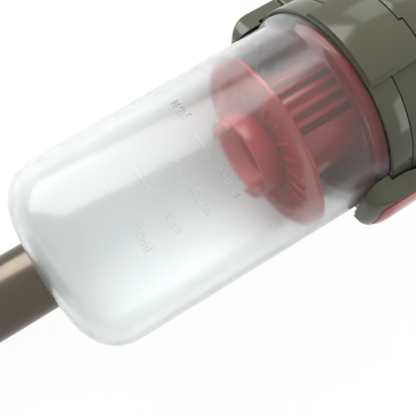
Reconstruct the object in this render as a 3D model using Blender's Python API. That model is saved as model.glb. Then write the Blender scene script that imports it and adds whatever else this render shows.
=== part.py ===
"""Wet cleaning head for a stick vacuum.

Lengths are in metres and angles in degrees until they are used. The model is laid out along the cup's axis:
x runs from the cup's closed base to the head, z points away from the wand tube. Angles round that axis are
counted from +z towards +y. An empty puts this layout on the floor, with the part's middle over the origin.
"""
import bmesh
import bpy
from math import asin, cos, pi, radians, sin, sqrt, tan
from mathutils import Matrix, Vector

MM = 0.001

# Clearances
GAP = 0.3 * MM
CUT_OVER = 1.0 * MM

# Water cup
CUP_LENGTH = 128.0 * MM
CUP_RADIUS = 37.9 * MM
CUP_DRAFT = 1.02
CUP_CORNER = 16.9 * MM
CUP_WALL = 1.6 * MM

# Separator: a slotted cage on a flange, a baffle disc and the drop tube through both
FLANGE_THICK = 2.2 * MM
SKIRT_LENGTH = 8.0 * MM
SKIRT_WALL = 2.6 * MM
SEAL_WIDTH = 2.0 * MM
SEAL_DEPTH = 1.3 * MM
CAGE_RADIUS = 21.3 * MM
CAGE_WALL = 1.5 * MM
CAGE_SLOTS = 13
CAGE_PITCH = 360.0 / 26
CAGE_SLOTS_FROM = -8.0
SLOT_WIDTH = 3.2 * MM
SLOT_END_MARGIN = 2.5 * MM
DISC_X = 93.5 * MM
DISC_THICK = 1.8 * MM
DISC_CUP_GAP = 0.5 * MM
FIN_COUNT = 26
FIN_HEIGHT = 1.6 * MM
FIN_THICK = 0.9 * MM
FIN_REACH = 28.5 * MM
DROP_RADIUS = 17.2 * MM
DROP_WALL = 1.5 * MM
DROP_MOUTH_X = 83.9 * MM
DROP_PASSAGE = 23.0 * MM
INLET_RADIUS = 12.5 * MM
INLET_WALL = 1.5 * MM

# Head
HEAD_TURN = 22.0
HEAD_FRONT_X = 120.8 * MM
HEAD_RADIUS = 43.0 * MM
RING_CUP_GAP = 0.5 * MM
RING_LENGTH = 8.9 * MM
BODY_LENGTH = 22.0 * MM
BODY_WALL = 2.5 * MM
BULKHEAD_THICK = 2.5 * MM
DOME_LENGTH = 36.0 * MM
DOME_WALL = 2.5 * MM
DOME_POWER = 2.2
COVER_HALF_ANGLE = 24.0
COVER_HEIGHT = 1.8 * MM
COVER_LENGTH = 20.7 * MM
COVER_STEP = 1.4 * MM
COVER_STEP_AT = 5.5
REAR_COVER_LENGTH = 9.0 * MM

# Side latches: each is a rocker on a pin, with its nose over the cup and a red pad outside
LATCH_FRONT_X = 109.0 * MM
LATCH_BACK_X = 133.2 * MM
LATCH_HEIGHT = 50.0 * MM
LATCH_BASE_HALF = 15.0 * MM
LATCH_TOP_HALF = 8.8 * MM
LATCH_NOSE_ROUND = 6.5 * MM
LATCH_LIFT = 2.6 * MM
LATCH_PIN_X = 125.4 * MM
LATCH_PIN_OUT = 3.0 * MM
LATCH_PIN_RADIUS = 1.0 * MM
LATCH_PIN_HALF = 7.5 * MM
EAR_RADIUS = 1.9 * MM
EAR_THICK = 2.4 * MM
EAR_OFFSET = 4.6 * MM
EAR_SWING = 1.0 * MM
CLAW_LENGTH = 2.2 * MM
CATCH_LENGTH = 2.4 * MM
CATCH_HEIGHT = 0.7 * MM
CATCH_HALF_ANGLE = 10.0
PAD_PROUD = 1.0 * MM
PAD_SINK = 0.9 * MM
PAD_MARGIN = 1.6 * MM
PAD_FRONT_MARGIN = 4.2 * MM
SPRING_RADIUS = 1.6 * MM
SPRING_WIRE = 0.35 * MM
SPRING_TURNS = 3
SPRING_INSET = 3.2 * MM
SPRING_ROOF = 1.8 * MM
SHOULDER_LENGTH = 17.0 * MM
SHOULDER_FLAT = 7.5 * MM

# Wand tube, its socket and the half-turn elbow
TUBE_RADIUS = 17.5 * MM
TUBE_WALL = 1.0 * MM
TUBE_DROP = 63.0 * MM
TUBE_FAR_X = -168.0 * MM
SOCKET_WALL = 3.0 * MM
SOCKET_DEPTH = 10.5 * MM
TUBE_SEAL_WIDTH = 2.4 * MM
TUBE_SEAL_DEPTH = 1.4 * MM
ELBOW_WALL = 2.2 * MM
FOOT_HALF = 14.0 * MM
FOOT_HEIGHT = 5.0 * MM
FOOT_LENGTH = 19.0 * MM

# Outlet
OUTLET_RADIUS = 17.5 * MM
OUTLET_WALL = 2.0 * MM
OUTLET_LENGTH = 30.0 * MM
OUTLET_FLANGE = 3.0 * MM
OUTLET_SEAL_AT = 20.0 * MM

# Housing screws
SCREW_RADIUS = 1.5 * MM
SCREW_HEAD_RADIUS = 2.8 * MM
SCREW_HEAD_HEIGHT = 1.8 * MM
SCREW_LENGTH = 12.0 * MM
SCREW_CIRCLE = 34.0 * MM
SCREW_ANGLES = (38.0, 132.0, -132.0, -38.0)
BOSS_RADIUS = 4.2 * MM

# Floor nozzle
HINGE_X = -190.0 * MM
NECK_WALL = 2.7 * MM
NECK_OVERLAP = 22.0 * MM
BARREL_RADIUS = 18.5 * MM
BARREL_HALF = 21.0 * MM
NECK_BORE = 14.0 * MM
CHEEK_THICK = 7.0 * MM
CHEEK_GAP = 0.5 * MM
CHEEK_RADIUS = 9.0 * MM
SKID_CORNER = -30.0
SKID_CHAMFER = 3.0 * MM
PIVOT_RADIUS = 3.0 * MM
PIVOT_REACH = 5.0 * MM
NOZZLE_WIDTH = 220.0 * MM
NOZZLE_DEPTH = 66.0 * MM
NOZZLE_LIP_HEIGHT = 17.0 * MM
NOZZLE_RISE = 8.0 * MM
NOZZLE_CREST = 28.5 * MM
NOZZLE_ROUND = 5.0 * MM
NOZZLE_WALL = 2.4 * MM
SEAT_WALL = 2.0 * MM
PLATE_THICK = 2.5 * MM
PLATE_LIFT = 3.0 * MM
MOUTH_LENGTH = 16.0 * MM
MOUTH_SIDE = 10.0 * MM
SQUEEGEE_THICK = 2.0 * MM
SQUEEGEE_HEIGHT = 6.0 * MM
SQUEEGEE_LAND = 2.2 * MM
FLOOR_CLEAR = 4.0 * MM
PLATE_SCREW_RADIUS = 1.2 * MM
PLATE_SCREW_HEAD = 2.2 * MM
PLATE_SCREW_HEAD_HEIGHT = 1.2 * MM
PLATE_SCREW_LENGTH = 7.0 * MM
PLATE_SCREW_INSET = 4.5 * MM
PLATE_BOSS_RADIUS = 3.2 * MM

ROUND = 40
ROUND_SMALL = 28

# Places that follow from the sizes above
BODY_X = HEAD_FRONT_X + RING_LENGTH + GAP
BODY_END_X = BODY_X + BODY_LENGTH
DOME_X = BODY_END_X + GAP
DOME_END_X = DOME_X + DOME_LENGTH
FLANGE_END_X = BODY_X - GAP
FLANGE_X = FLANGE_END_X - FLANGE_THICK
COVER_INNER = HEAD_RADIUS + GAP
COVER_OUTER = COVER_INNER + COVER_HEIGHT
SOCKET_RADIUS = TUBE_RADIUS + GAP + SOCKET_WALL
TUBE_END_X = BODY_X + SOCKET_DEPTH
ELBOW_X = TUBE_END_X + GAP
ELBOW_SWEEP = TUBE_DROP / 2
ELBOW_RADIUS = INLET_RADIUS + ELBOW_WALL
AXIS_HEIGHT = TUBE_DROP + SOCKET_RADIUS + FLOOR_CLEAR
OUTLET_END_X = DOME_END_X + OUTLET_LENGTH
NOZZLE_FRONT_X = HINGE_X - NOZZLE_DEPTH
HOLLOW_END_X = HINGE_X - BARREL_RADIUS - CHEEK_GAP - SEAT_WALL
NOZZLE_BACK_X = HOLLOW_END_X + NOZZLE_WALL
MIDDLE_X = (NOZZLE_FRONT_X + OUTLET_END_X) / 2
LATCH_PIN_R = HEAD_RADIUS + LATCH_PIN_OUT
FLOOR_Z = -SOCKET_RADIUS - FLOOR_CLEAR
PLATE_Z = FLOOR_Z + PLATE_LIFT


def cup_radius(x):
    """Outer radius of the cup at x, on its drafted wall."""
    return CUP_RADIUS + (x - CUP_CORNER) * tan(radians(CUP_DRAFT))


def cup_bore(x):
    return cup_radius(x) - CUP_WALL


for old in list(bpy.data.objects):
    bpy.data.objects.remove(old, do_unlink=True)


def plastic(name, color, rough, metal=0.0, clear=0.0):
    mat = bpy.data.materials.new(name)
    mat.use_nodes = True
    shader = mat.node_tree.nodes["Principled BSDF"]
    shader.inputs["Base Color"].default_value = (*color, 1.0)
    shader.inputs["Roughness"].default_value = rough
    shader.inputs["Metallic"].default_value = metal
    shader.inputs["Transmission Weight"].default_value = clear
    mat.diffuse_color = (*color, 1.0)
    return mat


FROSTED = ("frosted_cup", (0.83, 0.87, 0.86), 0.35, 0.0, 0.8)
RED = ("red_plastic", (0.45, 0.02, 0.02), 0.3, 0.0, 0.3)
RED_PAD = ("red_pad", (0.35, 0.01, 0.01), 0.25)
OLIVE = ("olive_grey", (0.13, 0.13, 0.10), 0.25)
TUBE_METAL = ("tube_metal", (0.20, 0.18, 0.14), 0.3, 0.9)
RUBBER = ("black_rubber", (0.02, 0.02, 0.02), 0.7)
STEEL = ("steel", (0.6, 0.6, 0.6), 0.3, 1.0)
DARK = ("dark_plastic", (0.05, 0.05, 0.05), 0.4)


def empty(name, parent=None, location=(0, 0, 0), turn_x=0.0):
    holder = bpy.data.objects.new(name, None)
    bpy.context.collection.objects.link(holder)
    holder.parent = parent
    holder.location = location
    holder.rotation_euler.x = radians(turn_x)
    return holder


part = empty("cup_axis", location=(-MIDDLE_X, 0, AXIS_HEIGHT))
head_frame = empty("head_frame", part, turn_x=-HEAD_TURN)
tube_frame = empty("tube_frame", part, location=(0, 0, -TUBE_DROP))


def put(name, bm, look, parent=part, location=(0, 0, 0)):
    """Make an object from a bmesh, in the frame of its parent."""
    mesh = bpy.data.meshes.new(name)
    bm.to_mesh(mesh)
    bm.free()
    mesh.shade_smooth()
    mesh.set_sharp_from_angle(angle=radians(35))
    mesh.materials.append(plastic(name + "_" + look[0], *look[1:]))
    thing = bpy.data.objects.new(name, mesh)
    bpy.context.collection.objects.link(thing)
    thing.parent = parent
    thing.location = location
    return thing


def hide(cutter):
    cutter.hide_render = True
    cutter.display_type = "WIRE"
    return cutter


def combine(target, operation, *tools):
    """Add one exact boolean for each tool, which becomes a hidden guide."""
    for tool in tools:
        step = target.modifiers.new(tool.name, "BOOLEAN")
        step.operation = operation
        step.solver = "EXACT"
        step.object = hide(tool)
    return target


def soften(thing, width, segments=2, angle=40.0):
    step = thing.modifiers.new("soft_edges", "BEVEL")
    step.width = width
    step.segments = segments
    step.limit_method = "ANGLE"
    step.angle_limit = radians(angle)
    return thing


def turned(profile, segments=ROUND, axis_z=0.0):
    """Spin a closed profile of (x, radius) points round the x axis at height axis_z."""
    bm = bmesh.new()
    verts = [bm.verts.new((x, 0, r + axis_z)) for x, r in profile]
    edges = [bm.edges.new((verts[i - 1], verts[i])) for i in range(len(verts))]
    bmesh.ops.spin(bm, geom=verts + edges, cent=(0, 0, axis_z), axis=(1, 0, 0), angle=2 * pi,
                   steps=segments, use_merge=True)
    bmesh.ops.remove_doubles(bm, verts=bm.verts, dist=1e-7)
    bmesh.ops.dissolve_degenerate(bm, edges=bm.edges, dist=1e-7)
    bmesh.ops.delete(bm, geom=[e for e in bm.edges if e.is_wire], context="EDGES")
    bmesh.ops.recalc_face_normals(bm, faces=bm.faces)
    return bm


def ring(x0, x1, inner, outer, segments=ROUND, axis_z=0.0):
    return turned([(x0, inner), (x0, outer), (x1, outer), (x1, inner)], segments, axis_z)


def rod(x0, x1, radius, segments=ROUND_SMALL):
    """A closed cylinder along x."""
    bm = bmesh.new()
    spot = Matrix.Translation(((x0 + x1) / 2, 0, 0)) @ Matrix.Rotation(pi / 2, 4, "Y")
    bmesh.ops.create_cone(bm, cap_ends=True, segments=segments, radius1=radius, radius2=radius,
                          depth=x1 - x0, matrix=spot)
    return bm


def prism(outline, low, high, lift):
    """Extrude a closed outline from low to high. lift turns (a, b, height) into a point."""
    bm = bmesh.new()
    face = bm.faces.new([bm.verts.new(lift(a, b, low)) for a, b in outline])
    made = bmesh.ops.extrude_face_region(bm, geom=[face])
    side = Vector(lift(0, 0, high)) - Vector(lift(0, 0, low))
    bmesh.ops.translate(bm, vec=side, verts=[v for v in made["geom"] if isinstance(v, bmesh.types.BMVert)])
    bmesh.ops.recalc_face_normals(bm, faces=bm.faces)
    return bm


def block(low, high):
    bm = bmesh.new()
    size = [b - a for a, b in zip(low, high)]
    middle = [(a + b) / 2 for a, b in zip(low, high)]
    bmesh.ops.create_cube(bm, size=1.0, matrix=Matrix.Translation(middle) @ Matrix.Diagonal((*size, 1.0)))
    return bm


def repeat(make, transforms):
    """Gather copies of a small solid, one for each transform, in one bmesh."""
    bm = bmesh.new()
    for transform in transforms:
        single = make()
        single.transform(transform)
        holder = bpy.data.meshes.new("copy")
        single.to_mesh(holder)
        single.free()
        bm.from_mesh(holder)
        bpy.data.meshes.remove(holder)
    return bm


def about_axis(angle):
    """Turn +z to the given angle round the cup's axis."""
    return Matrix.Rotation(radians(-angle), 4, "X")


def arc(cx, cr, radius, from_angle, to_angle, steps):
    """Points of an arc in a profile; 0 degrees points along +x and 90 outwards."""
    points = []
    for i in range(steps + 1):
        a = radians(from_angle + (to_angle - from_angle) * i / steps)
        points.append((cx + radius * cos(a), cr + radius * sin(a)))
    return points


def sector(x0, x1, inner, outer, half_low, half_high, edge_slope, steps=16):
    """A curved plate along x round the axis, from -half_low to +half_high, with sloping long edges."""
    outline = []
    for i in range(steps + 1):
        a = radians(-half_low + (half_low + half_high) * i / steps)
        outline.append((inner * sin(a), inner * cos(a)))
    for i in range(steps + 1):
        a = radians(half_high - edge_slope - (half_low + half_high - 2 * edge_slope) * i / steps)
        outline.append((outer * sin(a), outer * cos(a)))
    return prism(outline, x0, x1, lambda a, b, h: (h, a, b))


def make_cup():
    corner_x = CUP_CORNER
    base_r = CUP_RADIUS - CUP_CORNER
    profile = [(0, 0)]
    profile += [(x, r) for x, r in arc(corner_x, base_r, CUP_CORNER, 180, 90, 7)]
    profile += [(CUP_LENGTH, cup_radius(CUP_LENGTH)), (CUP_LENGTH, cup_bore(CUP_LENGTH))]
    profile += [(x, r) for x, r in arc(corner_x, base_r, CUP_CORNER - CUP_WALL, 90, 180, 7)]
    profile += [(CUP_WALL, 0)]
    bm = turned(profile)
    cup = put("water_cup", bm, FROSTED)
    front = LATCH_FRONT_X + CLAW_LENGTH + GAP
    top = cup_radius(front) + CATCH_HEIGHT
    inner = cup_bore(front) + CUP_WALL / 2
    for name, side in (("catch_left", 90), ("catch_right", -90)):
        bm = sector(front, front + CATCH_LENGTH, inner, top, CATCH_HALF_ANGLE, CATCH_HALF_ANGLE, 0, 6)
        bm.transform(about_axis(HEAD_TURN + side))
        combine(cup, "UNION", put(name, bm, FROSTED))
    return cup


def make_separator():
    skirt_x = FLANGE_X - SKIRT_LENGTH
    skirt_r = cup_bore(skirt_x) - GAP
    groove_x = FLANGE_X - SKIRT_LENGTH / 2 - SEAL_WIDTH / 2 - GAP
    groove_end = groove_x + SEAL_WIDTH + 2 * GAP
    groove_r = skirt_r - SEAL_DEPTH - GAP
    cage_x = DISC_X + DISC_THICK + GAP
    cage_in = CAGE_RADIUS - CAGE_WALL
    profile = [(cage_x, cage_in), (cage_x, CAGE_RADIUS), (FLANGE_X, CAGE_RADIUS),
               (FLANGE_X, skirt_r - SKIRT_WALL), (skirt_x, skirt_r - SKIRT_WALL), (skirt_x, skirt_r),
               (groove_x, skirt_r), (groove_x, groove_r), (groove_end, groove_r), (groove_end, skirt_r),
               (FLANGE_END_X, skirt_r), (FLANGE_END_X, cage_in)]
    cage = put("separator_cage", turned(profile), RED)
    slot_low = cage_x + SLOT_END_MARGIN
    slot_high = FLANGE_X - SLOT_END_MARGIN
    slots = repeat(lambda: block((slot_low, -SLOT_WIDTH / 2, cage_in - CUT_OVER),
                                 (slot_high, SLOT_WIDTH / 2, CAGE_RADIUS + CUT_OVER)),
                   [about_axis(CAGE_SLOTS_FROM + i * CAGE_PITCH) for i in range(CAGE_SLOTS)])
    combine(cage, "DIFFERENCE", put("slot_cutter", slots, RED))

    seal_in = groove_r + GAP
    put("cup_seal", ring(groove_x + GAP, groove_end - GAP, seal_in, skirt_r), RUBBER)

    disc_r = cup_bore(DISC_X) - DISC_CUP_GAP
    disc = put("baffle_disc", ring(DISC_X, DISC_X + DISC_THICK, INLET_RADIUS + GAP, disc_r), RED)
    fins = repeat(lambda: block((DISC_X - FIN_HEIGHT, -FIN_THICK / 2, DROP_RADIUS + 2 * GAP),
                                (DISC_X + DISC_THICK / 2, FIN_THICK / 2, FIN_REACH)),
                  [about_axis((i + 0.5) * 360 / FIN_COUNT) for i in range(FIN_COUNT)])
    combine(disc, "UNION", put("fins", fins, RED))

    mouth_end = DISC_X - GAP
    inlet_bore = INLET_RADIUS - INLET_WALL
    step_x = mouth_end - DROP_WALL
    profile = [(DROP_MOUTH_X, inlet_bore), (DROP_MOUTH_X, DROP_RADIUS), (mouth_end, DROP_RADIUS),
               (mouth_end, INLET_RADIUS), (ELBOW_X - GAP, INLET_RADIUS), (ELBOW_X - GAP, inlet_bore)]
    drop = put("drop_tube", turned(profile, 40), RED)
    side = DROP_PASSAGE / 2
    bore = DROP_RADIUS - DROP_WALL
    limit = asin(side / bore)
    steps = 8
    low_side = [(bore * sin(a), -bore * cos(a)) for a in [-limit + 2 * limit * i / steps for i in range(steps + 1)]]
    outline = low_side + [(-y, -z) for y, z in low_side]
    passage = prism(outline, DROP_MOUTH_X - CUT_OVER, step_x, lambda a, b, h: (h, a, b))
    combine(drop, "DIFFERENCE", put("passage_cutter", passage, RED))


def ear_transforms():
    places = []
    for side in (90, -90):
        for offset in (-EAR_OFFSET, EAR_OFFSET):
            places.append(about_axis(side) @ Matrix.Translation((0, offset, 0)))
    return places


def make_ear():
    """A lug on the ring, round over the pin, with its foot inside the ring's wall."""
    foot = HEAD_RADIUS - 1.8 * MM
    outline = [(LATCH_PIN_X - EAR_RADIUS, foot), (LATCH_PIN_X + EAR_RADIUS, foot)]
    outline += arc(LATCH_PIN_X, LATCH_PIN_R, EAR_RADIUS, 0, 180, 8)
    return prism(outline, -EAR_THICK / 2, EAR_THICK / 2, lambda a, b, h: (a, h, b))


def pin_hole(radius, half):
    bm = bmesh.new()
    bmesh.ops.create_cone(bm, cap_ends=True, segments=16, radius1=radius, radius2=radius, depth=2 * half,
                          matrix=Matrix.Rotation(pi / 2, 4, "X"))
    return bm


def upright(x, y, low, high, radius, segments=16):
    """A closed cylinder along z."""
    bm = bmesh.new()
    bmesh.ops.create_cone(bm, cap_ends=True, segments=segments, radius1=radius, radius2=radius,
                          depth=high - low, matrix=Matrix.Translation((x, y, (low + high) / 2)))
    return bm


def make_ring():
    bore = cup_radius(CUP_LENGTH) + RING_CUP_GAP
    edge = 0.8 * MM
    end_x = HEAD_FRONT_X + RING_LENGTH
    profile = [(HEAD_FRONT_X, bore), (HEAD_FRONT_X, HEAD_RADIUS - edge), (HEAD_FRONT_X + edge, HEAD_RADIUS),
               (end_x - edge / 2, HEAD_RADIUS), (end_x, HEAD_RADIUS - edge / 2), (end_x, bore)]
    front = put("front_ring", turned(profile), OLIVE, head_frame)
    combine(front, "UNION", put("ears", repeat(make_ear, ear_transforms()), OLIVE, head_frame))
    holes = repeat(lambda: pin_hole(LATCH_PIN_RADIUS + GAP, EAR_OFFSET + EAR_THICK),
                   [about_axis(side) @ Matrix.Translation((LATCH_PIN_X, 0, LATCH_PIN_R)) for side in (90, -90)])
    combine(front, "DIFFERENCE", put("ear_holes", holes, OLIVE, head_frame))


def elbow_solid(radius, segments=20):
    """Half a torus that joins the tube's axis to the cup's axis behind the head."""
    bm = bmesh.new()
    bmesh.ops.create_circle(bm, cap_ends=False, segments=segments, radius=radius,
                            matrix=Matrix.Translation((ELBOW_X, 0, 0)) @ Matrix.Rotation(pi / 2, 4, "Y"))
    bmesh.ops.spin(bm, geom=bm.verts[:] + bm.edges[:], cent=(ELBOW_X, 0, -ELBOW_SWEEP), axis=(0, 1, 0),
                   angle=pi, steps=12)
    return bm


def capped(bm):
    bmesh.ops.holes_fill(bm, edges=[e for e in bm.edges if e.is_boundary], sides=0)
    bmesh.ops.recalc_face_normals(bm, faces=bm.faces)
    return bm


def make_elbow():
    bm = elbow_solid(ELBOW_RADIUS)
    bmesh.ops.recalc_face_normals(bm, faces=bm.faces)
    elbow = put("inlet_elbow", bm, OLIVE)
    wall = elbow.modifiers.new("wall", "SOLIDIFY")
    wall.thickness = ELBOW_WALL
    wall.offset = -1.0
    wall.use_even_offset = True


def screw_places(x):
    return [about_axis(angle) @ Matrix.Translation((x, 0, SCREW_CIRCLE)) for angle in SCREW_ANGLES]


def shoulder():
    """The fixed block behind a latch, in the latch's outline, falling away to the rear."""
    x0 = LATCH_BACK_X + 2 * GAP
    x1 = x0 + SHOULDER_LENGTH
    foot = sqrt((HEAD_RADIUS - BODY_WALL / 2) ** 2 - LATCH_BASE_HALF ** 2)
    side = [(x0, foot), (x0, LATCH_HEIGHT), (x0 + SHOULDER_FLAT, LATCH_HEIGHT), (x1, HEAD_RADIUS), (x1, foot)]
    bm = prism(side, -LATCH_BASE_HALF, LATCH_BASE_HALF, lambda a, b, h: (a, h, b))
    taper = (LATCH_BASE_HALF - LATCH_TOP_HALF) / (LATCH_HEIGHT - foot)
    for v in bm.verts:
        v.co.y *= 1 - taper * (v.co.z - foot) / LATCH_BASE_HALF
    return bm


def make_head_body():
    bore = CAGE_RADIUS - CAGE_WALL
    inner = HEAD_RADIUS - BODY_WALL
    edge = 0.5 * MM
    plate_end = BODY_X + BULKHEAD_THICK
    profile = [(BODY_X, bore), (BODY_X, HEAD_RADIUS - edge), (BODY_X + edge, HEAD_RADIUS),
               (BODY_END_X, HEAD_RADIUS), (BODY_END_X, inner), (plate_end, inner), (plate_end, bore)]
    body = put("head_body", turned(profile), OLIVE)
    shoulders = put("shoulders", repeat(shoulder, [about_axis(HEAD_TURN + side) for side in (90, -90)]), OLIVE)
    combine(shoulders, "DIFFERENCE", put("chamber_room", rod(BODY_X, BODY_END_X + CUT_OVER, inner + GAP, ROUND), OLIVE))
    socket = put("socket_solid", rod(BODY_X, BODY_END_X, SOCKET_RADIUS), OLIVE, tube_frame)
    foot_low = -SOCKET_RADIUS - FLOOR_CLEAR
    foot_x = BODY_X + (BODY_LENGTH - FOOT_LENGTH) / 2
    foot = block((foot_x, -FOOT_HALF, foot_low), (foot_x + FOOT_LENGTH, FOOT_HALF, -TUBE_RADIUS - 2 * GAP))
    bosses = repeat(lambda: rod(plate_end - CUT_OVER, BODY_END_X, BOSS_RADIUS, 16), screw_places(0))
    combine(body, "UNION", shoulders, socket, put("foot", foot, OLIVE, tube_frame),
            put("body_bosses", bosses, OLIVE))
    seal_x = BODY_X + SOCKET_DEPTH / 2
    groove_x = seal_x - TUBE_SEAL_WIDTH / 2 - GAP
    groove_end = seal_x + TUBE_SEAL_WIDTH / 2 + GAP
    room_r = TUBE_RADIUS + GAP
    groove_r = room_r + TUBE_SEAL_DEPTH
    socket_cut = [(BODY_X - CUT_OVER, 0), (BODY_X - CUT_OVER, room_r), (groove_x, room_r), (groove_x, groove_r),
                  (groove_end, groove_r), (groove_end, room_r), (ELBOW_X, room_r), (ELBOW_X, ELBOW_RADIUS),
                  (ELBOW_X + CUT_OVER, ELBOW_RADIUS), (ELBOW_X + CUT_OVER, 0)]
    pilot = repeat(lambda: rod(DOME_X - SCREW_LENGTH / 2 - 2 * GAP, DOME_X + CUT_OVER, SCREW_RADIUS + GAP, 12),
                   screw_places(0))
    combine(body, "DIFFERENCE", put("elbow_room", capped(elbow_solid(ELBOW_RADIUS + GAP)), OLIVE),
            put("socket_cut", turned(socket_cut, ROUND_SMALL), OLIVE, tube_frame), put("pilot_holes", pilot, OLIVE))
    put("tube_seal", ring(groove_x + GAP, groove_end - GAP, room_r, groove_r - GAP, ROUND_SMALL), RUBBER, tube_frame)


def dome_radius(x):
    """Outer radius of the dome, a quarter ellipse that ends at the outlet's flange."""
    end = OUTLET_RADIUS + OUTLET_FLANGE
    t = min(max((x - DOME_X) / DOME_LENGTH, 0), 1)
    return end + (HEAD_RADIUS - end) * sqrt(1 - t ** DOME_POWER)


def dome_x(radius):
    """The x at which the dome has shrunk to this outer radius."""
    end = OUTLET_RADIUS + OUTLET_FLANGE
    return DOME_X + DOME_LENGTH * (1 - ((radius - end) / (HEAD_RADIUS - end)) ** 2) ** (1 / DOME_POWER)


def make_dome():
    steps = 7
    xs = [DOME_X + DOME_LENGTH * sin(pi / 2 * i / steps) for i in range(steps + 1)]
    bore = OUTLET_RADIUS - OUTLET_WALL
    outer = [(x, dome_radius(x)) for x in xs]
    inner_end = DOME_END_X - DOME_WALL
    squeeze = (inner_end - DOME_X) / DOME_LENGTH
    inner = [(DOME_X + (x - DOME_X) * squeeze, dome_radius(x) - DOME_WALL) for x in xs]
    profile = outer + [(DOME_END_X, bore), (inner_end, bore)] + inner[::-1]
    dome = put("rear_dome", turned(profile, ROUND), OLIVE)
    tower_end = dome_x(SCREW_CIRCLE + BOSS_RADIUS + 0.8 * MM)
    head_x = DOME_X + SCREW_LENGTH / 2
    towers = repeat(lambda: rod(DOME_X, tower_end, BOSS_RADIUS, 16), screw_places(0))
    wells = repeat(lambda: rod(head_x, DOME_END_X, SCREW_HEAD_RADIUS + GAP, 16), screw_places(0))
    shanks = repeat(lambda: rod(DOME_X - CUT_OVER, head_x + CUT_OVER, SCREW_RADIUS + GAP, 12), screw_places(0))
    combine(dome, "UNION", put("towers", towers, OLIVE))
    combine(dome, "DIFFERENCE", put("wells", wells, OLIVE), put("shanks", shanks, OLIVE),
            put("dome_elbow_room", capped(elbow_solid(ELBOW_RADIUS + GAP)), OLIVE))

    def screw():
        shank_low = DOME_X - SCREW_LENGTH / 2
        top = head_x + GAP
        profile = [(shank_low, 0), (shank_low, SCREW_RADIUS), (top, SCREW_RADIUS), (top, SCREW_HEAD_RADIUS),
                   (top + SCREW_HEAD_HEIGHT, SCREW_HEAD_RADIUS * 0.8), (top + SCREW_HEAD_HEIGHT, 0)]
        return turned(profile, 12)

    for i, place in enumerate(screw_places(0)):
        bm = screw()
        bm.transform(place)
        put(f"housing_screw_{i + 1}", bm, STEEL)


def make_outlet():
    bore = OUTLET_RADIUS - OUTLET_WALL
    x0 = DOME_END_X + GAP
    seal_x = x0 + OUTLET_SEAL_AT
    groove = 1.2 * MM
    flange_end = x0 + OUTLET_FLANGE
    profile = [(x0, bore), (x0, OUTLET_RADIUS + OUTLET_FLANGE), (flange_end, OUTLET_RADIUS + OUTLET_FLANGE),
               (flange_end, OUTLET_RADIUS), (seal_x, OUTLET_RADIUS), (seal_x, OUTLET_RADIUS - groove),
               (seal_x + SEAL_WIDTH + 2 * GAP, OUTLET_RADIUS - groove), (seal_x + SEAL_WIDTH + 2 * GAP, OUTLET_RADIUS),
               (OUTLET_END_X - 1 * MM, OUTLET_RADIUS), (OUTLET_END_X, OUTLET_RADIUS - 0.7 * MM), (OUTLET_END_X, bore)]
    put("outlet_spigot", turned(profile, 40), OLIVE)
    put("outlet_seal", ring(seal_x + GAP, seal_x + GAP + SEAL_WIDTH, OUTLET_RADIUS - groove + GAP,
                            OUTLET_RADIUS + 0.3 * MM, 40), RUBBER)


def make_covers():
    slope = 1.0 * COVER_HEIGHT / HEAD_RADIUS * 180 / pi
    step_x = HEAD_FRONT_X + COVER_LENGTH
    front = sector(HEAD_FRONT_X, step_x + COVER_STEP, COVER_INNER, COVER_OUTER, COVER_HALF_ANGLE, COVER_HALF_ANGLE,
                   slope)
    cover = put("front_cover", front, OLIVE, head_frame)
    notch = sector(step_x, step_x + COVER_STEP + CUT_OVER, COVER_INNER - CUT_OVER, COVER_OUTER + CUT_OVER,
                   COVER_STEP_AT, COVER_HALF_ANGLE + 5, 0)
    combine(cover, "DIFFERENCE", put("step_cutter", notch, OLIVE, head_frame))
    soften(cover, 0.4 * MM, 2)
    rear_x = step_x + 2 * GAP
    rear = sector(rear_x, rear_x + REAR_COVER_LENGTH, COVER_INNER, COVER_OUTER, COVER_HALF_ANGLE, COVER_HALF_ANGLE,
                  slope)
    back = put("rear_cover", rear, OLIVE, head_frame)
    room = sector(rear_x - CUT_OVER, rear_x + COVER_STEP, COVER_INNER - CUT_OVER, COVER_OUTER + CUT_OVER,
                  COVER_HALF_ANGLE + 5, -COVER_STEP_AT + 2 * GAP / HEAD_RADIUS * 180 / pi, 0)
    combine(back, "DIFFERENCE", put("rear_step_cutter", room, OLIVE, head_frame))
    soften(back, 0.3 * MM, 1)


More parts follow.
